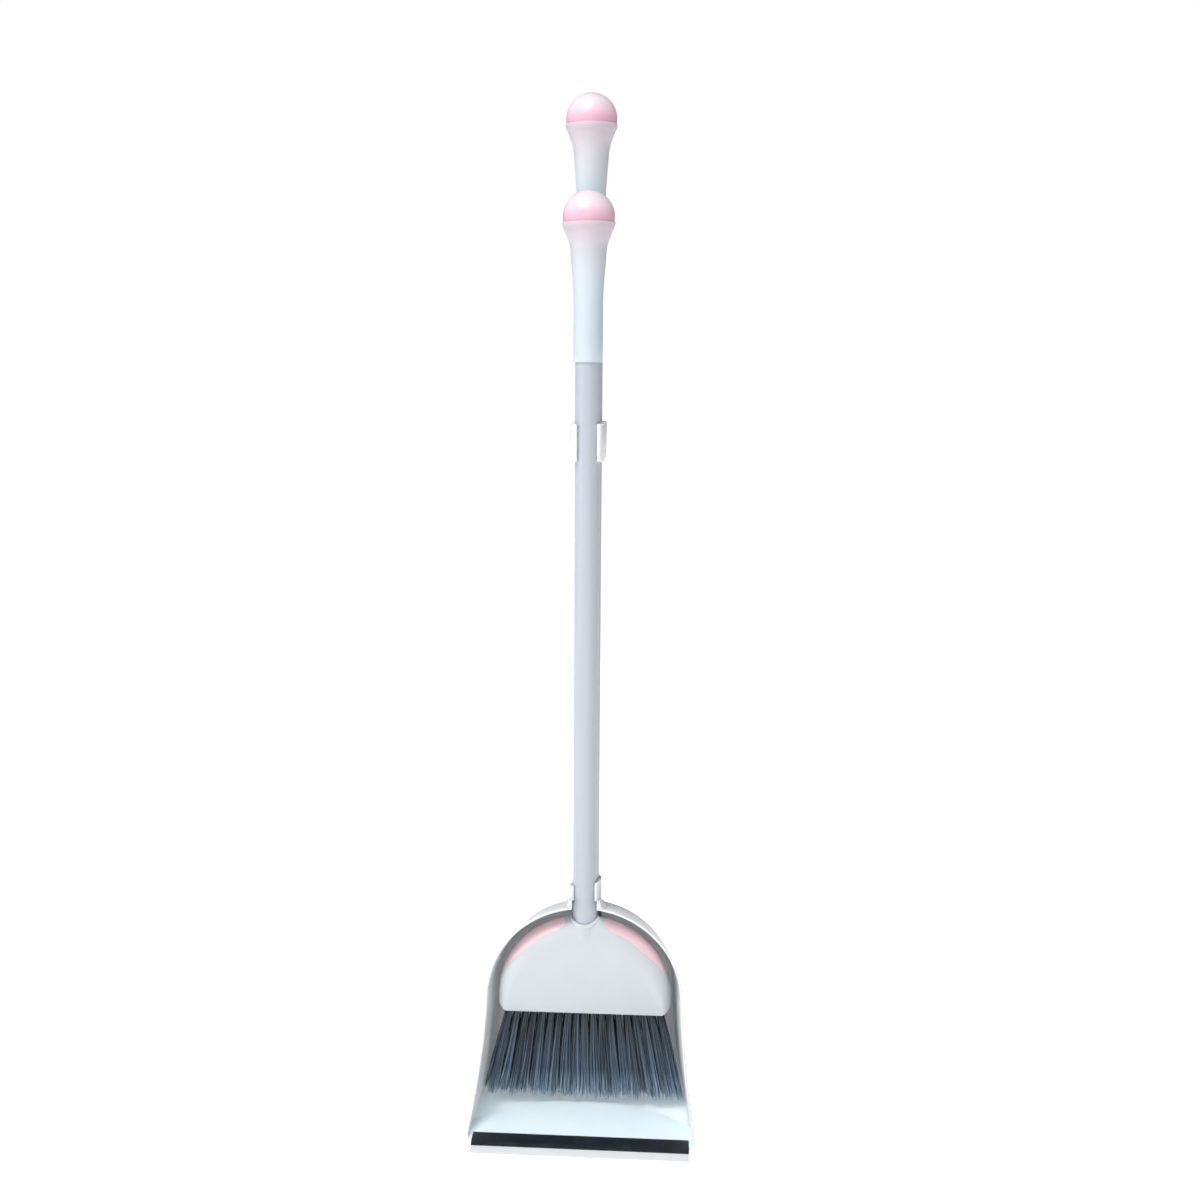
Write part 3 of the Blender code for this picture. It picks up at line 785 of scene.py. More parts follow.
def dress(
    piece: bpy.types.Object,
    material: bpy.types.Material,
    body: Body,
    node: str,
) -> None:
    """Gives a finished piece its material and its body, and hides the frame node that it stands for.

    Args:
        piece: The finished piece.
        material: Its finish.
        body: The body it moves with.
        node: The frame's node that it replaces.
    """
    piece.data.materials.clear()
    piece.data.materials.append(material)
    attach(piece, body.value)
    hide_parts(node)
    LOG.info("%s: %d faces", piece.name, len(piece.data.polygons))


def middle_of(node: str) -> Point2:
    """Returns the middle of a frame node's box in x and y."""
    low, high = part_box(node)
    return ((low.x + high.x) / 2, (low.y + high.y) / 2)


# ---------------------------------------------------------------- the pan


@dataclass(frozen=True)
class HoodOutline:
    """The hood's section across the pan: a flared foot, two legs and a round arch."""

    half_width: float
    arch_z: float
    apex_z: float
    flare: float
    foot_radius: float = 7 * MM
    flare_power: float = 1.7
    floor_steps: int = 10
    foot_steps: int = 6
    leg_steps: int = 24
    arch_steps: int = 40

    def leg_x(self, z: float) -> float:
        """Returns the leg's half-width at a height."""
        return self.half_width + self.flare * max(0.0, 1 - z / self.arch_z) ** self.flare_power

    def points(self) -> list[Point2]:
        """Returns the whole closed outline in x and z, from the floor's middle up the +X side."""
        foot_x = self.leg_x(self.foot_radius) - self.foot_radius
        half = [(foot_x * step / self.floor_steps, 0.0) for step in range(self.floor_steps)]
        half += arc((foot_x, self.foot_radius), self.foot_radius, -QUARTER_TURN, 0.0, self.foot_steps)
        for step in range(1, self.leg_steps):
            z = self.foot_radius + (self.arch_z - self.foot_radius) * step / self.leg_steps
            half.append((self.leg_x(z), z))
        for step in range(self.arch_steps + 1):
            angle = QUARTER_TURN * step / self.arch_steps
            x = self.half_width * math.cos(angle)
            half.append((x, self.arch_z + (self.apex_z - self.arch_z) * math.sin(angle)))
        half[-1] = (0.0, self.apex_z)
        return half + [(-x, z) for x, z in reversed(half[1:-1])]


@dataclass
class HoodedPan:
    """The pan's moulding: floor, walls, hood, ramp, and the socket behind the hood."""

    pole: Point2
    brush_pole: Point2
    wall: float = 2.4 * MM
    rim: HoodOutline = HoodOutline(95.8 * MM, 118 * MM, 211.5 * MM, 13.7 * MM, 5 * MM)
    back: HoodOutline = HoodOutline(88.5 * MM, 112 * MM, 197.3 * MM, 14 * MM, 13 * MM)
    rim_top_y: float = -2.15 * MM
    rim_sweep: float = 66 * MM
    sweep_top_z: float = 150 * MM
    sweep_power: float = 1.7
    back_radius: float = 8 * MM
    back_past_pole: float = 2 * MM
    back_middle_z: float = 90 * MM
    wall_rows: int = 14
    round_rows: int = 6
    socket_radius: float = 14.5 * MM
    socket_low: float = 150 * MM
    socket_floor: float = 26 * MM
    bore_radius: float = 12.05 * MM
    notch_half: float = 15.8 * MM
    notch_low: float = 196 * MM
    ramp_front: Point2 = (-54.95 * MM, 4.4 * MM)
    ramp_crest: Point2 = (14.0 * MM, 7.0 * MM)
    ramp_side_y: float = -38.0 * MM
    ramp_under: float = 1.2 * MM
    ramp_columns: int = 48
    box: tuple[Vector, Vector] = field(default_factory=lambda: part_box("pan_shell"))

    def rim_y(self, z: float) -> float:
        """Returns how far forward the rim stands at a height."""
        drop = max(0.0, 1 - z / self.sweep_top_z)
        return self.rim_top_y - self.rim_sweep * drop**self.sweep_power

    def skin(self) -> bpy.types.Object:
        """Makes the moulding's wall, with round corners at its foot and back and a soft rim."""
        back_y = self.pole[1] + self.back_past_pole
        rim = [Vector((x, self.rim_y(z), z)) for x, z in self.rim.points()]
        deep = [Vector((x, back_y - self.back_radius, z)) for x, z in self.back.points()]
        shares = [row / self.wall_rows for row in range(self.wall_rows + 1)]
        rings = [[a.lerp(b, share) for a, b in zip(rim, deep)] for share in shares]
        inward = inward_steps(self.back.points())
        for step in range(1, self.round_rows + 1):
            angle = QUARTER_TURN * step / self.round_rows
            inset = self.back_radius * (1 - math.cos(angle))
            y = back_y - self.back_radius * (1 - math.sin(angle))
            rings.append([Vector((p.x + n.x * inset, y, p.z + n.z * inset)) for p, n in zip(deep, inward)])
        middle = Vector((0.0, back_y, self.back_middle_z))
        last = rings[-1]
        for share in (0.25, 0.5, 0.75):
            rings.append([point.lerp(middle, share) for point in last])
        work = bmesh.new()
        rows = add_loft(work, rings)
        hub = work.verts.new(middle)
        for i, vert in enumerate(rows[-1]):
            work.faces.new((vert, rows[-1][(i + 1) % len(rows[-1])], hub))
        piece = piece_from("pan_moulding", work)
        thick = piece.modifiers.new("wall", "SOLIDIFY")
        thick.thickness = self.wall
        thick.offset = -1.0
        thick.use_even_offset = True
        apply_modifiers(piece)
        return soften_edges(piece, 0.9 * MM, 3)

    def ramp(self) -> bpy.types.Object:
        """Makes the low ramp behind the lip, with its bowed crest."""
        half = self.rim.leg_x(4 * MM) - self.wall / 2
        rise = self.ramp_crest[0] - self.ramp_side_y
        bow = (half**2 + rise**2) / (2 * rise)
        front_y, front_z = self.ramp_front
        rings = []
        for column in range(self.ramp_columns + 1):
            x = half * (2 * column / self.ramp_columns - 1)
            crest_y = self.ramp_crest[0] - bow + math.sqrt(bow**2 - x**2)
            foot_y = crest_y + 4.5 * MM
            path = [(front_y, self.ramp_under), (front_y, front_z), (crest_y - 1.5 * MM, self.ramp_crest[1])]
            path += [(foot_y, self.wall), (foot_y, self.ramp_under)]
            rings.append([Vector((x, y, z)) for y, z in rounded_path(path, 1.6 * MM)])
        return capped_loft("ramp", rings)

    def socket(self) -> bpy.types.Object:
        """Makes the round socket that the pan's pole stands in, with its bore."""
        low, top = self.socket_low, self.box[1].z
        outer, bore = self.socket_radius, self.bore_radius
        path = [(0.0, low), (outer * 0.55, low + 1 * MM), (outer, low + 14 * MM), (outer, top)]
        path += [(bore, top), (bore, low + self.socket_floor), (0.0, low + self.socket_floor)]
        return lathe("socket", rounded_path(path, 1.2 * MM), self.pole)

    def notch(self) -> bpy.types.Object:
        """Makes the shape of the notch that the brush's pole passes through."""
        x, y = self.brush_pole
        half = self.notch_half
        outline = [(x - half, y), (x - half, y - 60 * MM), (x + half, y - 60 * MM)]
        outline += arc((x, y), half, 0.0, math.pi, 32)[:-1]
        return flat_cut("notch", [outline], self.notch_low, ABOVE_ALL)

    def bore(self) -> bpy.types.Object:
        """Makes the shape of the socket's bore."""
        low = (0.0, self.socket_low + self.socket_floor)
        return lathe("bore", rectangle(low, (self.bore_radius, ABOVE_ALL)), self.pole)

    def build(self, milky: bpy.types.Material) -> None:
        """Builds the moulding and dresses it.

        Args:
            milky: The moulding's finish.
        """
        pan = self.skin()
        carve(pan, self.ramp(), Carve.JOIN)
        carve(pan, self.socket(), Carve.JOIN)
        carve(pan, self.notch(), Carve.CUT)
        carve(pan, self.bore(), Carve.CUT)
        shade(pan.data)
        dress(pan, milky, Body.PAN, "pan_shell")


@dataclass
class LipStrips:
    """The white lip along the pan's mouth and the black rubber strip that lies on it."""

    edge_box: tuple[Vector, Vector] = field(default_factory=lambda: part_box("lip_edge"))
    rubber_box: tuple[Vector, Vector] = field(default_factory=lambda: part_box("lip_rubber"))
    floor: float = 2.4 * MM
    mouth_y: float = -68.15 * MM
    end_round: float = 0.35 * MM
    columns: int = 32

    def strip(self, name: str, section: Sequence[Point2], half: float, rounding: float) -> bpy.types.Object:
        """Extrudes a section along the lip, with round edges and slightly round ends.

        Args:
            name: The piece's name.
            section: The section in y and z.
            half: Half the strip's length.
            rounding: The radius of its long edges.

        Returns:
            The strip.
        """
        outline = rounded_path(section, rounding, closed=True, steps=3)
        middle_y = sum(y for y, _ in outline) / len(outline)
        middle_z = sum(z for _, z in outline) / len(outline)
        # The very ends are drawn in: to 0.90 of the height and 0.98 of the depth.
        stations = [(-half, 0.98, 0.90), (-half + self.end_round, 1.0, 1.0)]
        stations += [(half * (2 * step / self.columns - 1), 1.0, 1.0) for step in range(1, self.columns)]
        stations += [(half - self.end_round, 1.0, 1.0), (half, 0.98, 0.90)]
        rings = []
        for x, deep, tall in stations:
            offsets = [((y - middle_y) * deep, (z - middle_z) * tall) for y, z in outline]
            rings.append([Vector((x, middle_y + y, middle_z + z)) for y, z in offsets])
        return capped_loft(name, rings)

    def build(self, white: bpy.types.Material, black: bpy.types.Material) -> None:
        """Builds both strips and dresses them.

        Args:
            white: The lip's finish.
            black: The rubber strip's finish.
        """
        low, high = self.edge_box
        step_y = self.rubber_box[0].y
        on_floor = self.floor + 0.3 * MM
        tongue = on_floor + 0.7 * MM
        edge = [
            (high.y, on_floor),
            (self.mouth_y - 0.3 * MM, on_floor),
            (self.mouth_y - 0.6 * MM, low.z),
            (low.y, low.z),
            (low.y, 1.1 * MM),
            (step_y + 0.2 * MM, 2.6 * MM),
            (self.mouth_y - 3.0 * MM, tongue),
            (high.y, tongue),
        ]
        lip = self.strip("lip_edge_strip", edge, high.x, 0.35 * MM)
        dress(lip, white, Body.PAN, "lip_edge")
        rubber_high = self.rubber_box[1]
        rubber = [
            (rubber_high.y, tongue + 0.1 * MM),
            (self.mouth_y - 3.0 * MM, tongue + 0.1 * MM),
            (step_y, 2.65 * MM),
            (step_y, 3.3 * MM),
            (self.mouth_y, 4.5 * MM),
            (rubber_high.y, rubber_high.z),
        ]
        strip = self.strip("lip_rubber_strip", rubber, rubber_high.x, 0.4 * MM)
        dress(strip, black, Body.PAN, "lip_rubber")


@dataclass
class PoleGrips:
    """The two springy grips that hold the brush's pole: the neck collar and the clip higher up."""

    pole: Point2
    brush_pole: Point2
    bore: float = 12.0 * MM
    bridge_half: float = 7 * MM
    opening: float = math.radians(47)
    neck_right_opening: float = math.radians(50)
    neck_left_opening: float = math.radians(56)
    neck_wall: float = 3 * MM
    neck_grip_low: float = 214 * MM
    neck_front: float = 3.35 * MM
    bridge_top: float = 218.4 * MM
    neck_tops: Point2 = (226.5 * MM, 233.5 * MM)
    tip_turn: float = 0.06
    tip_cut: float = 0.2
    cut_half: float = 20 * MM
    cut_past: float = 9 * MM

    def grip(
        self, wall: float, bridge_end: Sequence[Point2], left_opening: float, right_opening: float
    ) -> list[Point2]:
        """Returns the outline of a C round the brush's pole with a bridge behind it.

        Args:
            wall: The C's thickness.
            bridge_end: The outline's points at the bridge's far end.
            left_opening: How far the left arm stops from the front.
            right_opening: How far the right arm stops from the front.

        Returns:
            The closed outline in x and y.
        """
        outer = self.bore + wall
        meet = math.asin(self.bridge_half / outer)
        right = -QUARTER_TURN + right_opening
        left = -QUARTER_TURN - left_opening + FULL_TURN
        middle = self.bore + wall / 2
        points = arc(self.brush_pole, outer, right + self.tip_turn, QUARTER_TURN - meet, 40)
        points += bridge_end
        points += arc(self.brush_pole, outer, QUARTER_TURN + meet, left - self.tip_turn, 40)
        points += self.tip(middle, wall / 2, left)
        points += arc(self.brush_pole, self.bore, left - self.tip_turn, right + self.tip_turn, 64)
        return points + list(reversed(self.tip(middle, wall / 2, right)))

    def tip(self, middle: float, radius: float, angle: float) -> list[Point2]:
        """Returns the round end of a C's arm, from its outside to its inside."""
        turn = 1 if angle > 0 else -1
        middle_angle = angle - self.tip_turn * turn
        x, y = self.brush_pole
        centre = (x + middle * math.cos(middle_angle), y + middle * math.sin(middle_angle))
        first = middle_angle + self.tip_cut * turn
        return arc(centre, radius * 0.96, first, middle_angle + turn * (math.pi - self.tip_cut), 8)

    def side_profile(self, low: Point2, high: Point2, radius: float) -> bpy.types.Object:
        """Makes a block from one corner in y and z to another, with round corners, to round a grip's ends."""
        outline = rounded_path(rectangle(low, high), radius, closed=True, steps=8)
        return turn_sideways(flat_cut("side_profile", [outline], -40 * MM, 40 * MM))

    def lining(self, low: float, high: float) -> bpy.types.Object:
        """Makes the U that lines the hood's notch and spreads at its foot to join the hood's rim.

        Args:
            low: Height of its foot.
            high: Height of its top, inside the arms.

        Returns:
            The lining.
        """
        x, y = self.brush_pole
        # Each level: its height, how far it spreads outwards and how far its front reaches forward.
        levels = [(high, 0.0, 0.0), (low + 6 * MM, 0.2 * MM, 0.4 * MM), (low + 4.2 * MM, 0.8 * MM, 1.4 * MM)]
        levels += [(low + 2.8 * MM, 1.8 * MM, 2.9 * MM), (low + 1.7 * MM, 3.2 * MM, 4.4 * MM)]
        levels += [(low + 0.9 * MM, 5.0 * MM, 5.3 * MM), (low, 5.2 * MM, 5.3 * MM)]
        rings = []
        for z, spread, reach in levels:
            outer = self.bore + self.neck_wall + spread
            front = self.neck_front - reach
            ring = [(x + outer, front), *arc((x, y), outer, 0.0, math.pi, 40), (x - outer, front)]
            inside = arc((x, y), self.bore, math.pi, 0.0, 40)
            ring += [(x - self.bore, front), *inside, (x + self.bore, front)]
            rings.append([Vector((px, py, z)) for px, py in ring])
        return capped_loft("lining", rings)

    def neck(self, white: bpy.types.Material) -> None:
        """Builds the collar in the hood's notch, with the arms above it."""
        low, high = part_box("neck_clip")
        end = [(self.bridge_half, high.y + 1.5 * MM), (-self.bridge_half, high.y + 1.5 * MM)]
        arms = self.grip(self.neck_wall, end, self.neck_left_opening, self.neck_right_opening)
        neck = flat_cut("neck_collar", [arms], self.neck_grip_low, high.z)
        behind = self.brush_pole[1] + self.bore + self.neck_wall
        above = rectangle((-self.cut_half, behind), (self.cut_half, high.y + self.cut_past))
        carve(neck, flat_cut("above_bridge", [above], self.bridge_top, high.z + 1 * MM), Carve.CUT)
        side = self.side_profile((low.y - 1 * MM, low.z - 20 * MM), (high.y + 1 * MM, high.z), 7 * MM)
        carve(neck, side, Carve.KEEP_COMMON)
        left, right = self.neck_tops
        top = high.z + self.cut_past
        slant = [(-self.cut_half, left), (self.cut_half, right), (self.cut_half, top), (-self.cut_half, top)]
        carve(neck, turn_upright(flat_cut("slant", [slant], -60 * MM, 60 * MM)), Carve.CUT)
        carve(neck, self.lining(low.z, self.neck_grip_low + 1 * MM), Carve.JOIN)
        soften_edges(neck, 0.5 * MM, 2)
        dress(neck, white, Body.PAN, "neck_clip")

    def clip(self, white: bpy.types.Material) -> None:
        """Builds the clip that rings the pan's pole and snaps round the brush's pole."""
        low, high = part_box("pole_clip")
        wall = high.y - self.pole[1] - self.bore
        outer = self.bore + wall
        meet = math.asin(self.bridge_half / outer)
        start = -QUARTER_TURN + meet
        ring = arc(self.pole, outer, start, start + FULL_TURN - 2 * meet, 72)
        hole = arc(self.pole, self.bore, 0.0, FULL_TURN, 72)[:-1]
        grip = self.grip(wall, ring, self.opening, self.opening)
        clip = flat_cut("pole_clip_body", [grip, hole], low.z, high.z)
        side = self.side_profile((low.y - 0.5 * MM, low.z), (high.y + 6 * MM, high.z), 5 * MM)
        carve(clip, side, Carve.KEEP_COMMON)
        soften_edges(clip, 0.6 * MM, 2)
        dress(clip, white, Body.CLIP, "pole_clip")

    def build(self, white: bpy.types.Material) -> None:
        """Builds both grips.

        Args:
            white: The finish of the white mouldings.
        """
        self.neck(white)
        self.clip(white)


# ---------------------------------------------------------------- the sticks


@dataclass
class Stick:
    """A coated tube with a flared handle sleeve and a pink ball in the sleeve's mouth."""

    prefix: str
    body: Body
    # The sleeve's outside as (radius, depth under its top) in millimetres.
    flare: tuple[Point2, ...] = (
        (24.20, 0.0), (24.00, 2.3), (22.95, 5.3), (21.70, 7.8), (20.75, 10.4), (19.70, 13.0), (18.65, 15.7),
        (17.75, 18.4), (17.15, 21.2), (16.65, 24.0), (16.30, 27.0), (16.00, 32.0), (15.55, 37.5),
        (15.05, 43.0), (14.75, 48.0), (14.20, 55.0), (13.55, 67.0), (13.22, 78.0), (13.25, 92.0),
        (13.40, 108.0),
    )
    tube_wall: float = 0.9 * MM
    tube_rows: int = 40

    def __post_init__(self) -> None:
        """Reads the tube's, the sleeve's and the ball's places from the frame."""
        self.pole_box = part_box(f"{self.prefix}_pole")
        self.sleeve_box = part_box(f"{self.prefix}_handle_sleeve")
        self.ball_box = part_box(f"{self.prefix}_handle_ball")
        self.centre = middle_of(f"{self.prefix}_pole")

    def tube(self) -> bpy.types.Object:
        """Makes the coated tube, with its rolled ends."""
        radius = (self.pole_box[1].x - self.pole_box[0].x) / 2
        low, high = self.pole_box[0].z, self.pole_box[1].z
        inner = radius - self.tube_wall
        rows = [high - (high - low) * step / self.tube_rows for step in range(1, self.tube_rows)]
        path = [(inner, high), (radius, high), *[(radius, z) for z in rows], (radius, low), (inner, low)]
        outline = rounded_path(path, 0.3 * MM, closed=True, steps=2)
        return lathe(f"{self.prefix}_tube", outline, self.centre, 64)

    def sleeve(self) -> bpy.types.Object:
        """Makes the sleeve: a round lip, the flare under it and the slim grip."""
        low, top = self.sleeve_box[0].z, self.sleeve_box[1].z
        widest = (self.sleeve_box[1].x - self.sleeve_box[0].x) / 2
        outside = smooth_path([(radius * MM, top - drop * MM) for radius, drop in self.flare], 4)
        outside = [(min(radius, widest - 0.05 * MM), z) for radius, z in outside if z < top - 0.9 * MM]
        lip = arc((widest - 0.85 * MM, top - 0.85 * MM), 0.8 * MM, math.radians(120), 0.0, 6)
        foot = [(13.45 * MM, low + 0.8 * MM), (13.2 * MM, low + 0.2 * MM), (12.8 * MM, low), (12.0 * MM, low)]
        mouth = widest - 1.9 * MM
        bore = [(12.0 * MM, top - 30 * MM), (mouth - 6 * MM, top - 16 * MM), (mouth, top - 1.2 * MM)]
        return lathe(f"{self.prefix}_sleeve", [*lip, *outside, *foot, *bore], self.centre)

    def ball(self) -> bpy.types.Object:
        """Makes the ball, which sinks into the sleeve's mouth."""
        top = self.ball_box[1].z
        radius = (self.ball_box[1].x - self.ball_box[0].x) / 2
        mouth = (self.sleeve_box[1].x - self.sleeve_box[0].x) / 2 - 2.2 * MM
        centre_z = top - radius
        sink = self.sleeve_box[1].z - 0.8 * MM - centre_z
        dome = arc((0.0, centre_z), radius, QUARTER_TURN, math.asin(sink / radius), 28)
        dome[0] = (0.0, top)
        neck_z = centre_z + sink
        low = neck_z - 14 * MM
        plug = [(mouth, neck_z), (mouth - 0.2 * MM, neck_z - 1.0 * MM), (mouth - 6.5 * MM, low), (0.0, low)]
        return lathe(f"{self.prefix}_ball", [*dome, *plug], self.centre)

    def build(
        self, coating: bpy.types.Material, tinted: bpy.types.Material, pink: bpy.types.Material
    ) -> None:
        """Builds the three pieces and dresses them.

        Args:
            coating: The tube's finish.
            tinted: The sleeve's finish.
            pink: The ball's finish.
        """
        dress(self.tube(), coating, self.body, f"{self.prefix}_pole")
        dress(self.sleeve(), tinted, self.body, f"{self.prefix}_handle_sleeve")
        dress(self.ball(), pink, self.body, f"{self.prefix}_handle_ball")


# ---------------------------------------------------------------- the brush's head


@dataclass
class BrushHead:
    """The head's cover with its collar and pink inserts, and the block in its mouth."""

    pole: Point2
    shoulder_z: float = 116 * MM
    corner: float = 8 * MM
    corner_steps: int = 8
    foot_steps: int = 24
    mouth_corner: float = 9 * MM
    bore_radius: float = 12.0 * MM
    bore_low: float = 150 * MM
    bore_high: float = 250 * MM
    face_rows: int = 24
    collar_steps: int = 72
    top_round: float = 27 * MM
    side_round: float = 9 * MM
    foot_round: float = 2.2 * MM
    ring_low: float = 191.3 * MM
    ring_rise: float = 4.4 * MM
    arch_steps: int = 120
    inlay_first: int = 12
    inlay_last: int = 51
    inlay_width: float = 8.8 * MM
    inlay_lift: float = 0.15 * MM
    inlay_bed: float = 0.9 * MM
    inlay_rows: int = 20
    box: tuple[Vector, Vector] = field(default_factory=lambda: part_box("head_cover"))

    def __post_init__(self) -> None:
        """Works out the head's half sizes from the frame."""
        self.half = (self.box[1].x - self.box[0].x) / 2
        self.depth = (self.box[1].y - self.box[0].y) / 2
        self.apex_z = self.box[1].z
        self.foot_z = self.box[0].z

    def outline(self) -> list[tuple[Point2, float]]:
        """Returns the head's D in x and z, each point with how far its edge is rounded."""
        points = []
        rise = self.apex_z - self.shoulder_z
        for step in range(self.arch_steps + 1):
            angle = math.pi * step / self.arch_steps
            reach = max(0.0, math.sin(angle)) ** 0.8
            rounding = self.side_round + (self.top_round - self.side_round) * reach
            place = (self.half * math.cos(angle), self.shoulder_z + rise * math.sin(angle))
            points.append((place, rounding))
        corner_z = self.foot_z + self.corner
        corner_x = self.half - self.corner
        points.append(((-self.half, (self.shoulder_z + corner_z) / 2), self.side_round))
        left, right = (-corner_x, corner_z), (corner_x, corner_z)
        points += self.foot_corner(left, math.pi, self.side_round, self.foot_round)
        for step in range(1, self.foot_steps):
            x = -corner_x + 2 * corner_x * step / self.foot_steps
            points.append(((x, self.foot_z), self.foot_round))
        points += self.foot_corner(right, math.pi + QUARTER_TURN, self.foot_round, self.side_round)
        points.append(((self.half, (self.shoulder_z + corner_z) / 2), self.side_round))
        return points

    def foot_corner(
        self, centre: Point2, start: float, first: float, last: float
    ) -> list[tuple[Point2, float]]:
        """Returns a quarter round at the foot, along which the edge's rounding changes evenly.

        Args:
            centre: The quarter round's centre in x and z.
            start: The angle it starts at.
            first: How far the edge is rounded at its start.
            last: How far the edge is rounded at its end.

        Returns:
            Points in x and z, each with its edge's rounding.
        """
        places = arc(centre, self.corner, start, start + QUARTER_TURN, self.corner_steps)
        change = (last - first) / self.corner_steps
        return [(place, first + change * step) for step, place in enumerate(places)]

    def surface(self, place: Point2, inward: Vector, rounding: float, q: float) -> Vector:
        """Returns a point on the head's skin.

        Args:
            place: The outline's point in x and z.
            inward: The unit step from there towards the head's inside.
            rounding: How far the edge is rounded there.
            q: -1 at the front face, 0 at the head's middle plane and 1 at the back face.

        Returns:
            The point in the frame's space.
        """
        angle = q * QUARTER_TURN
        inset = rounding * (1 - math.cos(angle))
        y = self.depth * math.sin(angle)
        return Vector((place[0] + inward.x * inset, self.pole[1] + y, place[1] + inward.z * inset))

    def cover(self) -> bpy.types.Object:
        """Makes the cover's outer form with its hollow foot."""
        outline = self.outline()
        inward = inward_steps([place for place, _ in outline])
        rings = []
        for row in range(self.face_rows + 1):
            q = 2 * row / self.face_rows - 1
            rings.append([self.surface(p, n, r, q) for (p, r), n in zip(outline, inward)])
        cover = capped_loft("head_cover_shell", rings)
        carve(cover, self.collar(), Carve.JOIN)
        hollow = self.mouth_plate("mouth", (4.5 * MM, 3.4 * MM), self.foot_z - 5 * MM, self.foot_z + 3 * MM)
        carve(cover, hollow, Carve.CUT)
        bore = rectangle((0.0, self.bore_low), (self.bore_radius, self.bore_high))
        carve(cover, lathe("bore", bore, self.pole), Carve.CUT)
        shade(cover.data)
        return cover

    def mouth_plate(self, name: str, inset: Point2, low: float, high: float) -> bpy.types.Object:
        """Makes a round-cornered plate inside the cover's mouth.

        Args:
            name: The plate's name.
            inset: How far it stays inside the cover in x and y.
            low: Height of its underside.
            high: Height of its top.

        Returns:
            The plate.
        """
        half, depth = self.half - inset[0], self.depth - inset[1]
        y = self.pole[1]
        corners = rectangle((-half, y - depth), (half, y + depth))
        return flat_cut(name, [rounded_path(corners, self.mouth_corner, True, 6)], low, high)

    def collar(self) -> bpy.types.Object:
        """Makes the lip round the pole's bore, low in front and behind and higher over the head's ridge."""
        # (radius, height above the lip's top) in millimetres.
        profile = [(11.0, -30.0), (11.0, 0.0), (12.9, 0.0), (13.7, -0.25), (14.3, -0.9), (14.6, -1.9)]
        profile += [(14.7, -2.9), (14.2, -3.9), (14.3, -4.9), (15.3, -7.0), (16.5, -10.0), (17.0, -13.0)]
        profile += [(16.6, -17.0), (15.0, -30.0)]
        x, y = self.pole
        rings = []
        for step in range(self.collar_steps):
            angle = FULL_TURN * step / self.collar_steps
            along, aside = math.cos(angle), math.sin(angle)
            top = self.ring_low + self.ring_rise * along**2
            rings.append([Vector((x + r * MM * along, y + r * MM * aside, top + z * MM)) for r, z in profile])
        work = bmesh.new()
        add_loft(work, [*rings, rings[0]])
        bmesh.ops.remove_doubles(work, verts=work.verts, dist=WELD)
        return piece_from("collar", work)

    def inlay_edge(self, share: float, rounding: float) -> float:
        """Returns how far round the shoulder the pink reaches, from 0 at the ridge to 1 at the front face.

        Args:
            share: How far along the insert, from its lower end to its upper one.
            rounding: How far the head's edge is rounded there.

        Returns:
            A share from 0 to 1.
        """
        swell = min(1.0, share / 0.42) ** 0.75 * (1 - 0.65 * max(0.0, (share - 0.8) / 0.2) ** 3)
        width = min(self.inlay_width * max(0.04, swell), 0.94 * rounding)
        return math.acos(1 - width / rounding) / QUARTER_TURN

    def insert(self, side: Side) -> bpy.types.Object:
        """Makes a pink skin that wraps over one shoulder, thin at both its ends.

        Args:
            side: The shoulder's side.

        Returns:
            The skin.
        """
        outline = self.outline()
        inward = inward_steps([place for place, _ in outline])
        length = self.inlay_last - self.inlay_first
        rings = []
        for index in range(self.inlay_first, self.inlay_last + 1):
            at = index if side is Side.RIGHT else self.arch_steps - index
            (place, rounding), normal = outline[at], inward[at]
            reach = self.inlay_edge((index - self.inlay_first) / length, rounding)
            shape, bed = [], []
            for row in range(self.inlay_rows + 1):
                across = 2 * row / self.inlay_rows - 1
                q = reach * across
                angle = q * QUARTER_TURN
                point = self.surface(place, normal, rounding, q)
                out = Vector((-normal.x * math.cos(angle), math.sin(angle), -normal.z * math.cos(angle)))
                crown = min(1.0, 6 * (1 - abs(across)))
                shape.append(point + out * self.inlay_lift * (2 * crown - 1))
                bed.append(point - out * self.inlay_bed)
            rings.append(shape + list(reversed(bed)))
        return capped_loft(f"head_insert_{side.name.lower()}_skin", rings, 50.0)

    def block(self) -> bpy.types.Object:
        """Makes the block that closes the cover's mouth."""
        low = self.foot_z + 0.9 * MM
        block = self.mouth_plate("tuft_block", (4.9 * MM, 3.8 * MM), low, low + 2 * MM)
        return soften_edges(block, 0.3 * MM)

    def build(self, white: bpy.types.Material, pink: bpy.types.Material, grey: bpy.types.Material) -> None:
        """Builds the head's pieces and dresses them.

        Args:
            white: The cover's finish.
            pink: The inserts' finish.
            grey: The block's finish.
        """
        dress(self.cover(), white, Body.HEAD, "head_cover")
        for side in Side:
            node = f"head_insert_{side.name.lower()}"
            dress(self.insert(side), pink, Body.HEAD, node)
        dress(self.block(), grey, Body.HEAD, "bristle_block")


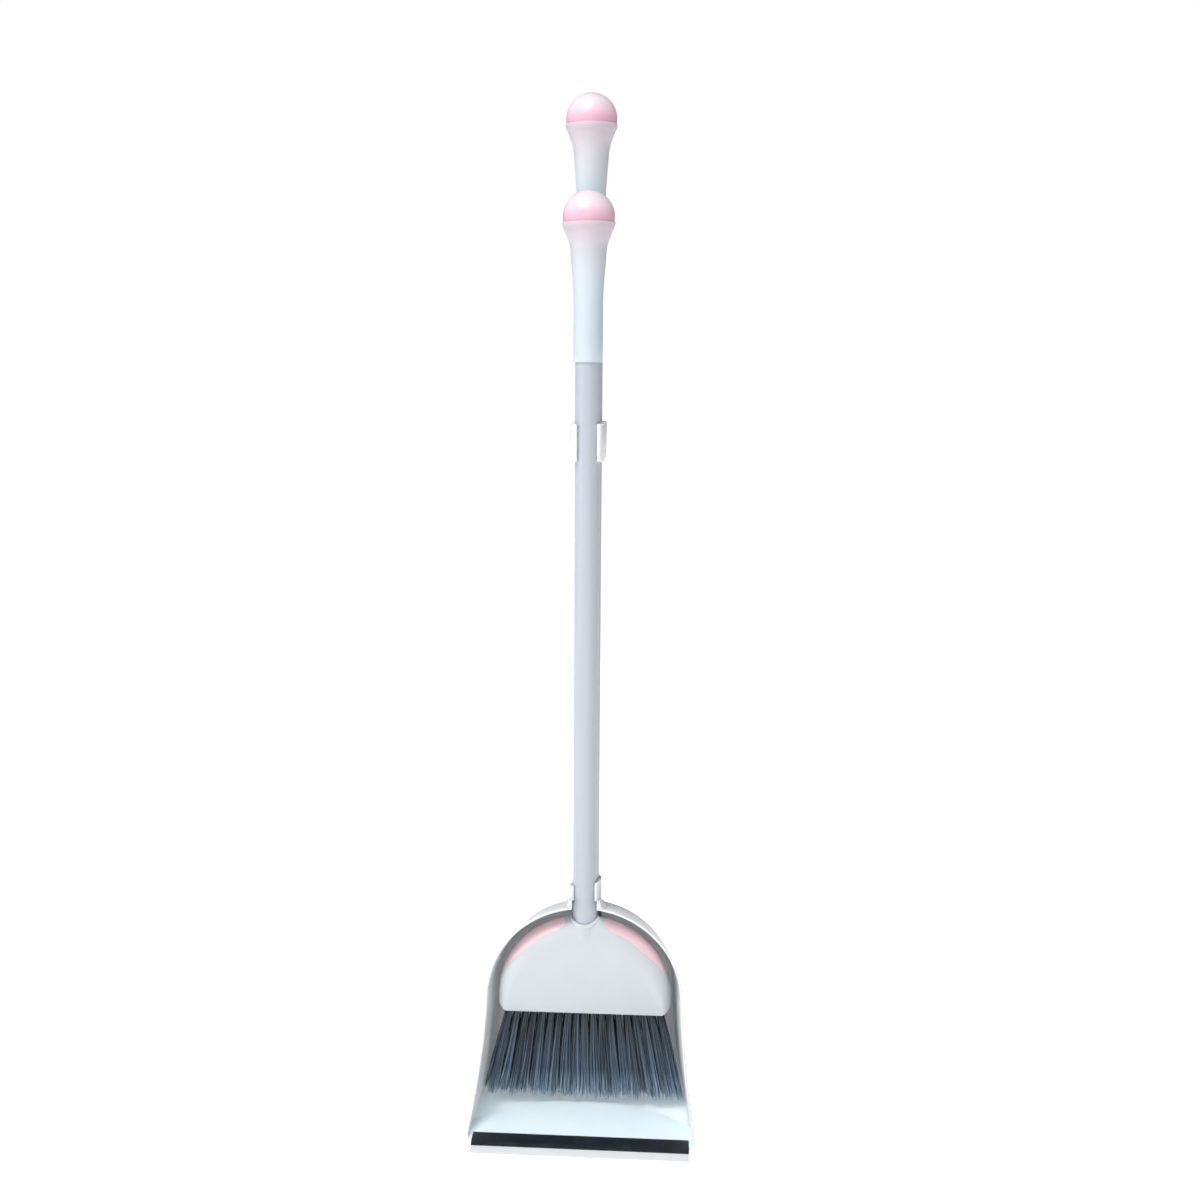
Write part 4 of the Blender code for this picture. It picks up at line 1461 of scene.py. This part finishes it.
@dataclass
class TuftRow:
    """One row of the brush: tufts set side by side, fanned out and flagged at their tips."""

    index: int
    row_y: float
    lean: float
    tip_half: float
    root_half: float = 77 * MM
    root_z: float = 103 * MM
    tip_z: float = 9.5 * MM
    tufts: int = 19
    strands: int = 56
    bends: int = 5
    strand_radius: float = 0.35 * MM
    root_spread: Point2 = (2.3 * MM, 2.0 * MM)
    tip_spread: Point2 = (5.4 * MM, 4.6 * MM)
    reach_limit: float = 101.5 * MM
    thin_from: float = 0.8

    def strand_path(self, root: Vector, tip: Vector, wave: Vector) -> Ring:
        """Returns the points along one filament.

        Args:
            root: Where it leaves the block.
            tip: Where it ends.
            wave: How far it strays to the side halfway.

        Returns:
            The filament's middle line.
        """
        path = []
        for step in range(self.bends + 1):
            t = step / self.bends
            path.append(root.lerp(tip, t) + wave * math.sin(math.pi * t))
        return path

    def add_strand(self, work: bmesh.types.BMesh, path: Ring, radius: float, turn: float) -> None:
        """Adds one three-sided filament that thins out at its tip.

        Args:
            work: The working mesh to add to.
            path: The filament's middle line.
            radius: Its radius.
            turn: How far its sides are turned about it.
        """
        rings = []
        for step, centre in enumerate(path):
            t = step / (len(path) - 1)
            thick = radius * (1.0 - 0.65 * max(0.0, t - self.thin_from) / (1 - self.thin_from))
            corners = [turn + FULL_TURN * k / 3 for k in range(3)]
            rings.append([centre + Vector((math.cos(a), math.sin(a), 0.0)) * thick for a in corners])
        add_capped_loft(work, rings)

    def build(self, filament: bpy.types.Material) -> None:
        """Builds the row and dresses it.

        Args:
            filament: The finish of the filaments.
        """
        chance = random.Random(100 + self.index)
        work = bmesh.new()
        for tuft in range(self.tufts):
            share = 2 * (tuft + 0.5) / self.tufts - 1
            share += (self.index % 2) * 0.5 / self.tufts - 0.25 / self.tufts
            tuft_lean = chance.uniform(-1.5, 1.5) * MM
            rise = chance.uniform(0.0, 3.0) * MM + 2.0 * MM * abs(share)
            for _ in range(self.strands):
                angle = chance.uniform(0, FULL_TURN)
                spot = math.sqrt(chance.random())
                aside, deep = spot * math.cos(angle), spot * math.sin(angle)
                root = Vector((
                    share * self.root_half + self.root_spread[0] * aside,
                    self.row_y + self.root_spread[1] * deep,
                    self.root_z,
                ))
                tip = Vector((
                    share * self.tip_half + self.tip_spread[0] * aside + tuft_lean,
                    self.row_y + self.lean + self.tip_spread[1] * deep,
                    self.tip_z + rise + abs(chance.gauss(0, 2.4)) * MM + 3.0 * MM * spot**3,
                ))
                strayed = tip.x + chance.gauss(0, 0.9) * MM
                tip.x = max(-self.reach_limit, min(self.reach_limit, strayed))
                wave = Vector((chance.gauss(0, 0.7), chance.gauss(0, 0.6), 0.0)) * MM
                radius = self.strand_radius * chance.uniform(0.75, 1.15)
                self.add_strand(work, self.strand_path(root, tip, wave), radius, chance.uniform(0, FULL_TURN))
        row = piece_from(f"tuft_row_{self.index}", work, 80.0)
        dress(row, filament, Body.HEAD, f"bristle_row_{self.index}")


@dataclass(frozen=True)
class RowPlan:
    """How the brush's rows are set out, from the front one to the back one."""

    count: int = 4
    pitch: float = 6.6 * MM
    lean: float = 3.6 * MM
    splay: float = 1.4 * MM
    front_tip_half: float = 97 * MM
    narrowing: float = 0.9 * MM

    def rows(self, middle_y: float) -> list[TuftRow]:
        """Returns the rows; those behind fan out less, as the hood narrows towards its back."""
        made = []
        for row in range(self.count):
            offset = row - (self.count - 1) / 2
            lean = offset * self.splay + self.lean
            tip_half = self.front_tip_half - row * self.narrowing
            made.append(TuftRow(row + 1, middle_y + offset * self.pitch, lean, tip_half))
        return made


# ---------------------------------------------------------------- hidden pieces


@dataclass
class HiddenParts:
    """The screws and plugs, which keep the frame's own shapes."""

    plugs: tuple[str, ...] = ("pan_pole_plug", "brush_pole_plug")
    screws: tuple[str, ...] = ("head_screw_1", "head_screw_2")

    def build(self, grey: bpy.types.Material, zinc: bpy.types.Material) -> None:
        """Gives the frame's own nodes their finishes.

        Args:
            grey: The plugs' finish.
            zinc: The screws' finish.
        """
        for names, material in ((self.plugs, grey), (self.screws, zinc)):
            for name in names:
                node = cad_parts[name]
                node.data.materials.clear()
                node.data.materials.append(material)
                LOG.info("%s keeps its shape", name)


# ---------------------------------------------------------------- studio


@dataclass(frozen=True)
class SoftLight:
    """A square of soft light: its place, what it points at, its side in metres and its power in watts."""

    name: str
    place: tuple[float, float, float]
    aim: tuple[float, float, float]
    size: float
    power: float

    def build(self) -> None:
        """Makes the light."""
        data = bpy.data.lights.new(self.name, "AREA")
        data.size = self.size
        data.energy = self.power
        light = add_object(self.name, data)
        light.location = self.place
        light.rotation_euler = (Vector(self.aim) - Vector(self.place)).to_track_quat("-Z", "Y").to_euler()


@dataclass
class Studio:
    """A plain pale floor, soft light and the camera."""

    brush_pole: Point2
    lights: tuple[SoftLight, ...] = (
        SoftLight("top_light", (-1.2, -2.1, 4.1), (0.0, 0.0, 0.1), 2.0, 165.0),
        SoftLight("left_light", (-2.9, -1.4, 0.9), (0.0, 0.0, 0.45), 1.5, 12.0),
        SoftLight("front_light", (-0.2, -3.2, 0.5), (0.0, 0.0, 0.1), 1.8, 5.0),
    )
    distance: float = 1.4448
    height: float = 0.7278
    azimuth: float = math.radians(2.54)
    pitch: float = math.radians(8.714)
    yaw: float = math.radians(-2.194)
    roll: float = math.radians(-0.007)
    shift: float = 0.06
    lens_mm: float = 46.5

    def camera(self) -> None:
        """Makes the camera, a little above the middle of the set and a little to its right."""
        data = bpy.data.cameras.new("camera")
        data.sensor_width = 36.0
        data.lens = self.lens_mm
        data.shift_x = self.shift
        data.clip_end = 100.0
        camera = add_object("camera", data)
        x, y = self.brush_pole
        camera.location = (
            x + math.sin(self.azimuth) * self.distance,
            y - math.cos(self.azimuth) * self.distance,
            self.height,
        )
        heading = self.azimuth - self.yaw
        turn = Matrix.Rotation(heading, 4, "Z") @ Matrix.Rotation(QUARTER_TURN - self.pitch, 4, "X")
        camera.rotation_euler = (turn @ Matrix.Rotation(self.roll, 4, "Z")).to_euler()
        bpy.context.scene.camera = camera

    def floor(self) -> None:
        """Makes the floor, which takes soft shadows but stays close to white."""
        work = bmesh.new()
        bmesh.ops.create_grid(work, x_segments=4, y_segments=4, size=12.0)
        floor = piece_from("studio_floor", work)
        values = {"Roughness": 0.9, "Specular IOR Level": 0.1}
        values |= {"Emission Color": linear("#FFFFFF"), "Emission Strength": 0.86}
        material, tree, shader = new_material("pale_studio_floor", values)
        stops = ((0.3, "#F5F6F7"), (0.7, "#FAFAFB"))
        colour = add_node(tree, "ValToRGB", links={"Fac": mottle(tree, 0.3)}, stops=stops)
        tree.links.new(colour.outputs["Color"], shader.inputs["Base Color"])
        floor.data.materials.append(material)

    def world(self) -> None:
        """Makes a white surround that is dimmer as light than as backdrop."""
        world = bpy.data.worlds.new("white_surround")
        bpy.context.scene.world = world
        world.use_nodes = True
        tree = world.node_tree
        seen = tree.nodes["Background"]
        seen.inputs["Color"].default_value = linear("#FFFFFF")
        seen.inputs["Strength"].default_value = 1.0
        lit = add_node(tree, "Background", {"Color": linear("#F6F8FC"), "Strength": 0.21})
        path = add_node(tree, "LightPath")
        links = {1: lit.outputs["Background"], 2: seen.outputs["Background"]}
        mix = add_node(tree, "MixShader", links={0: path.outputs["Is Camera Ray"], **links})
        tree.links.new(mix.outputs["Shader"], tree.nodes["World Output"].inputs["Surface"])

    def build(self) -> None:
        """Builds floor, lights, surround and camera."""
        self.floor()
        for light in self.lights:
            light.build()
        self.world()
        self.camera()
        bpy.context.scene.view_settings.view_transform = "Standard"
        LOG.info("studio ready")


def main() -> None:
    """Builds every sub-assembly in order."""
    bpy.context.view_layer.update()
    pan_pole = middle_of("pan_pole")
    brush_pole = middle_of("brush_pole")

    white = MouldedPolypropylene("white_satin_polypropylene", "#DFE2E5", "#DBDEE1").make()
    head_white = MouldedPolypropylene("white_matt_polypropylene", "#CACFD2", "#C7CCCF", 0.50).make()
    grey = MouldedPolypropylene("grey_moulded_polypropylene", "#9DA1A6", "#8F9398", 0.48).make()
    lip = ExtrudedRubber("white_soft_vinyl", "#EEF1F2", "#F6F8F8", 0.42).make()
    rubber = ExtrudedRubber("black_extruded_rubber", "#0B1018", "#2A3440", 0.42).make()
    inlay = PinkInlay().make()
    coating = CoatedSteel("lilac_coated_steel").make()
    zinc = ZincPlate().make()

    HoodedPan(pan_pole, brush_pole).build(HoodPolypropylene().make())
    LipStrips().build(lip, rubber)
    PoleGrips(pan_pole, brush_pole).build(white)
    for prefix, body in (("pan", Body.PAN), ("brush", Body.STICK)):
        stick = Stick(prefix, body)
        tinted = TintedSleeve(f"{prefix}_tinted_sleeve", stick.sleeve_box[1].z).make()
        ball = MilkyPinkBall(f"{prefix}_milky_pink", stick.sleeve_box[1].z, stick.ball_box[1].z).make()
        stick.build(coating, tinted, ball)
    head = BrushHead(brush_pole)
    head.build(head_white, inlay, grey)
    filament = BristleFilament("grey_blue_polyester", head.foot_z, 9 * MM).make()
    for row in RowPlan().rows(brush_pole[1]):
        row.build(filament)
    HiddenParts().build(grey, zinc)
    Studio(brush_pole).build()


if __name__ == "__main__":
    logging.basicConfig(level=logging.INFO, format="%(message)s")
    main()
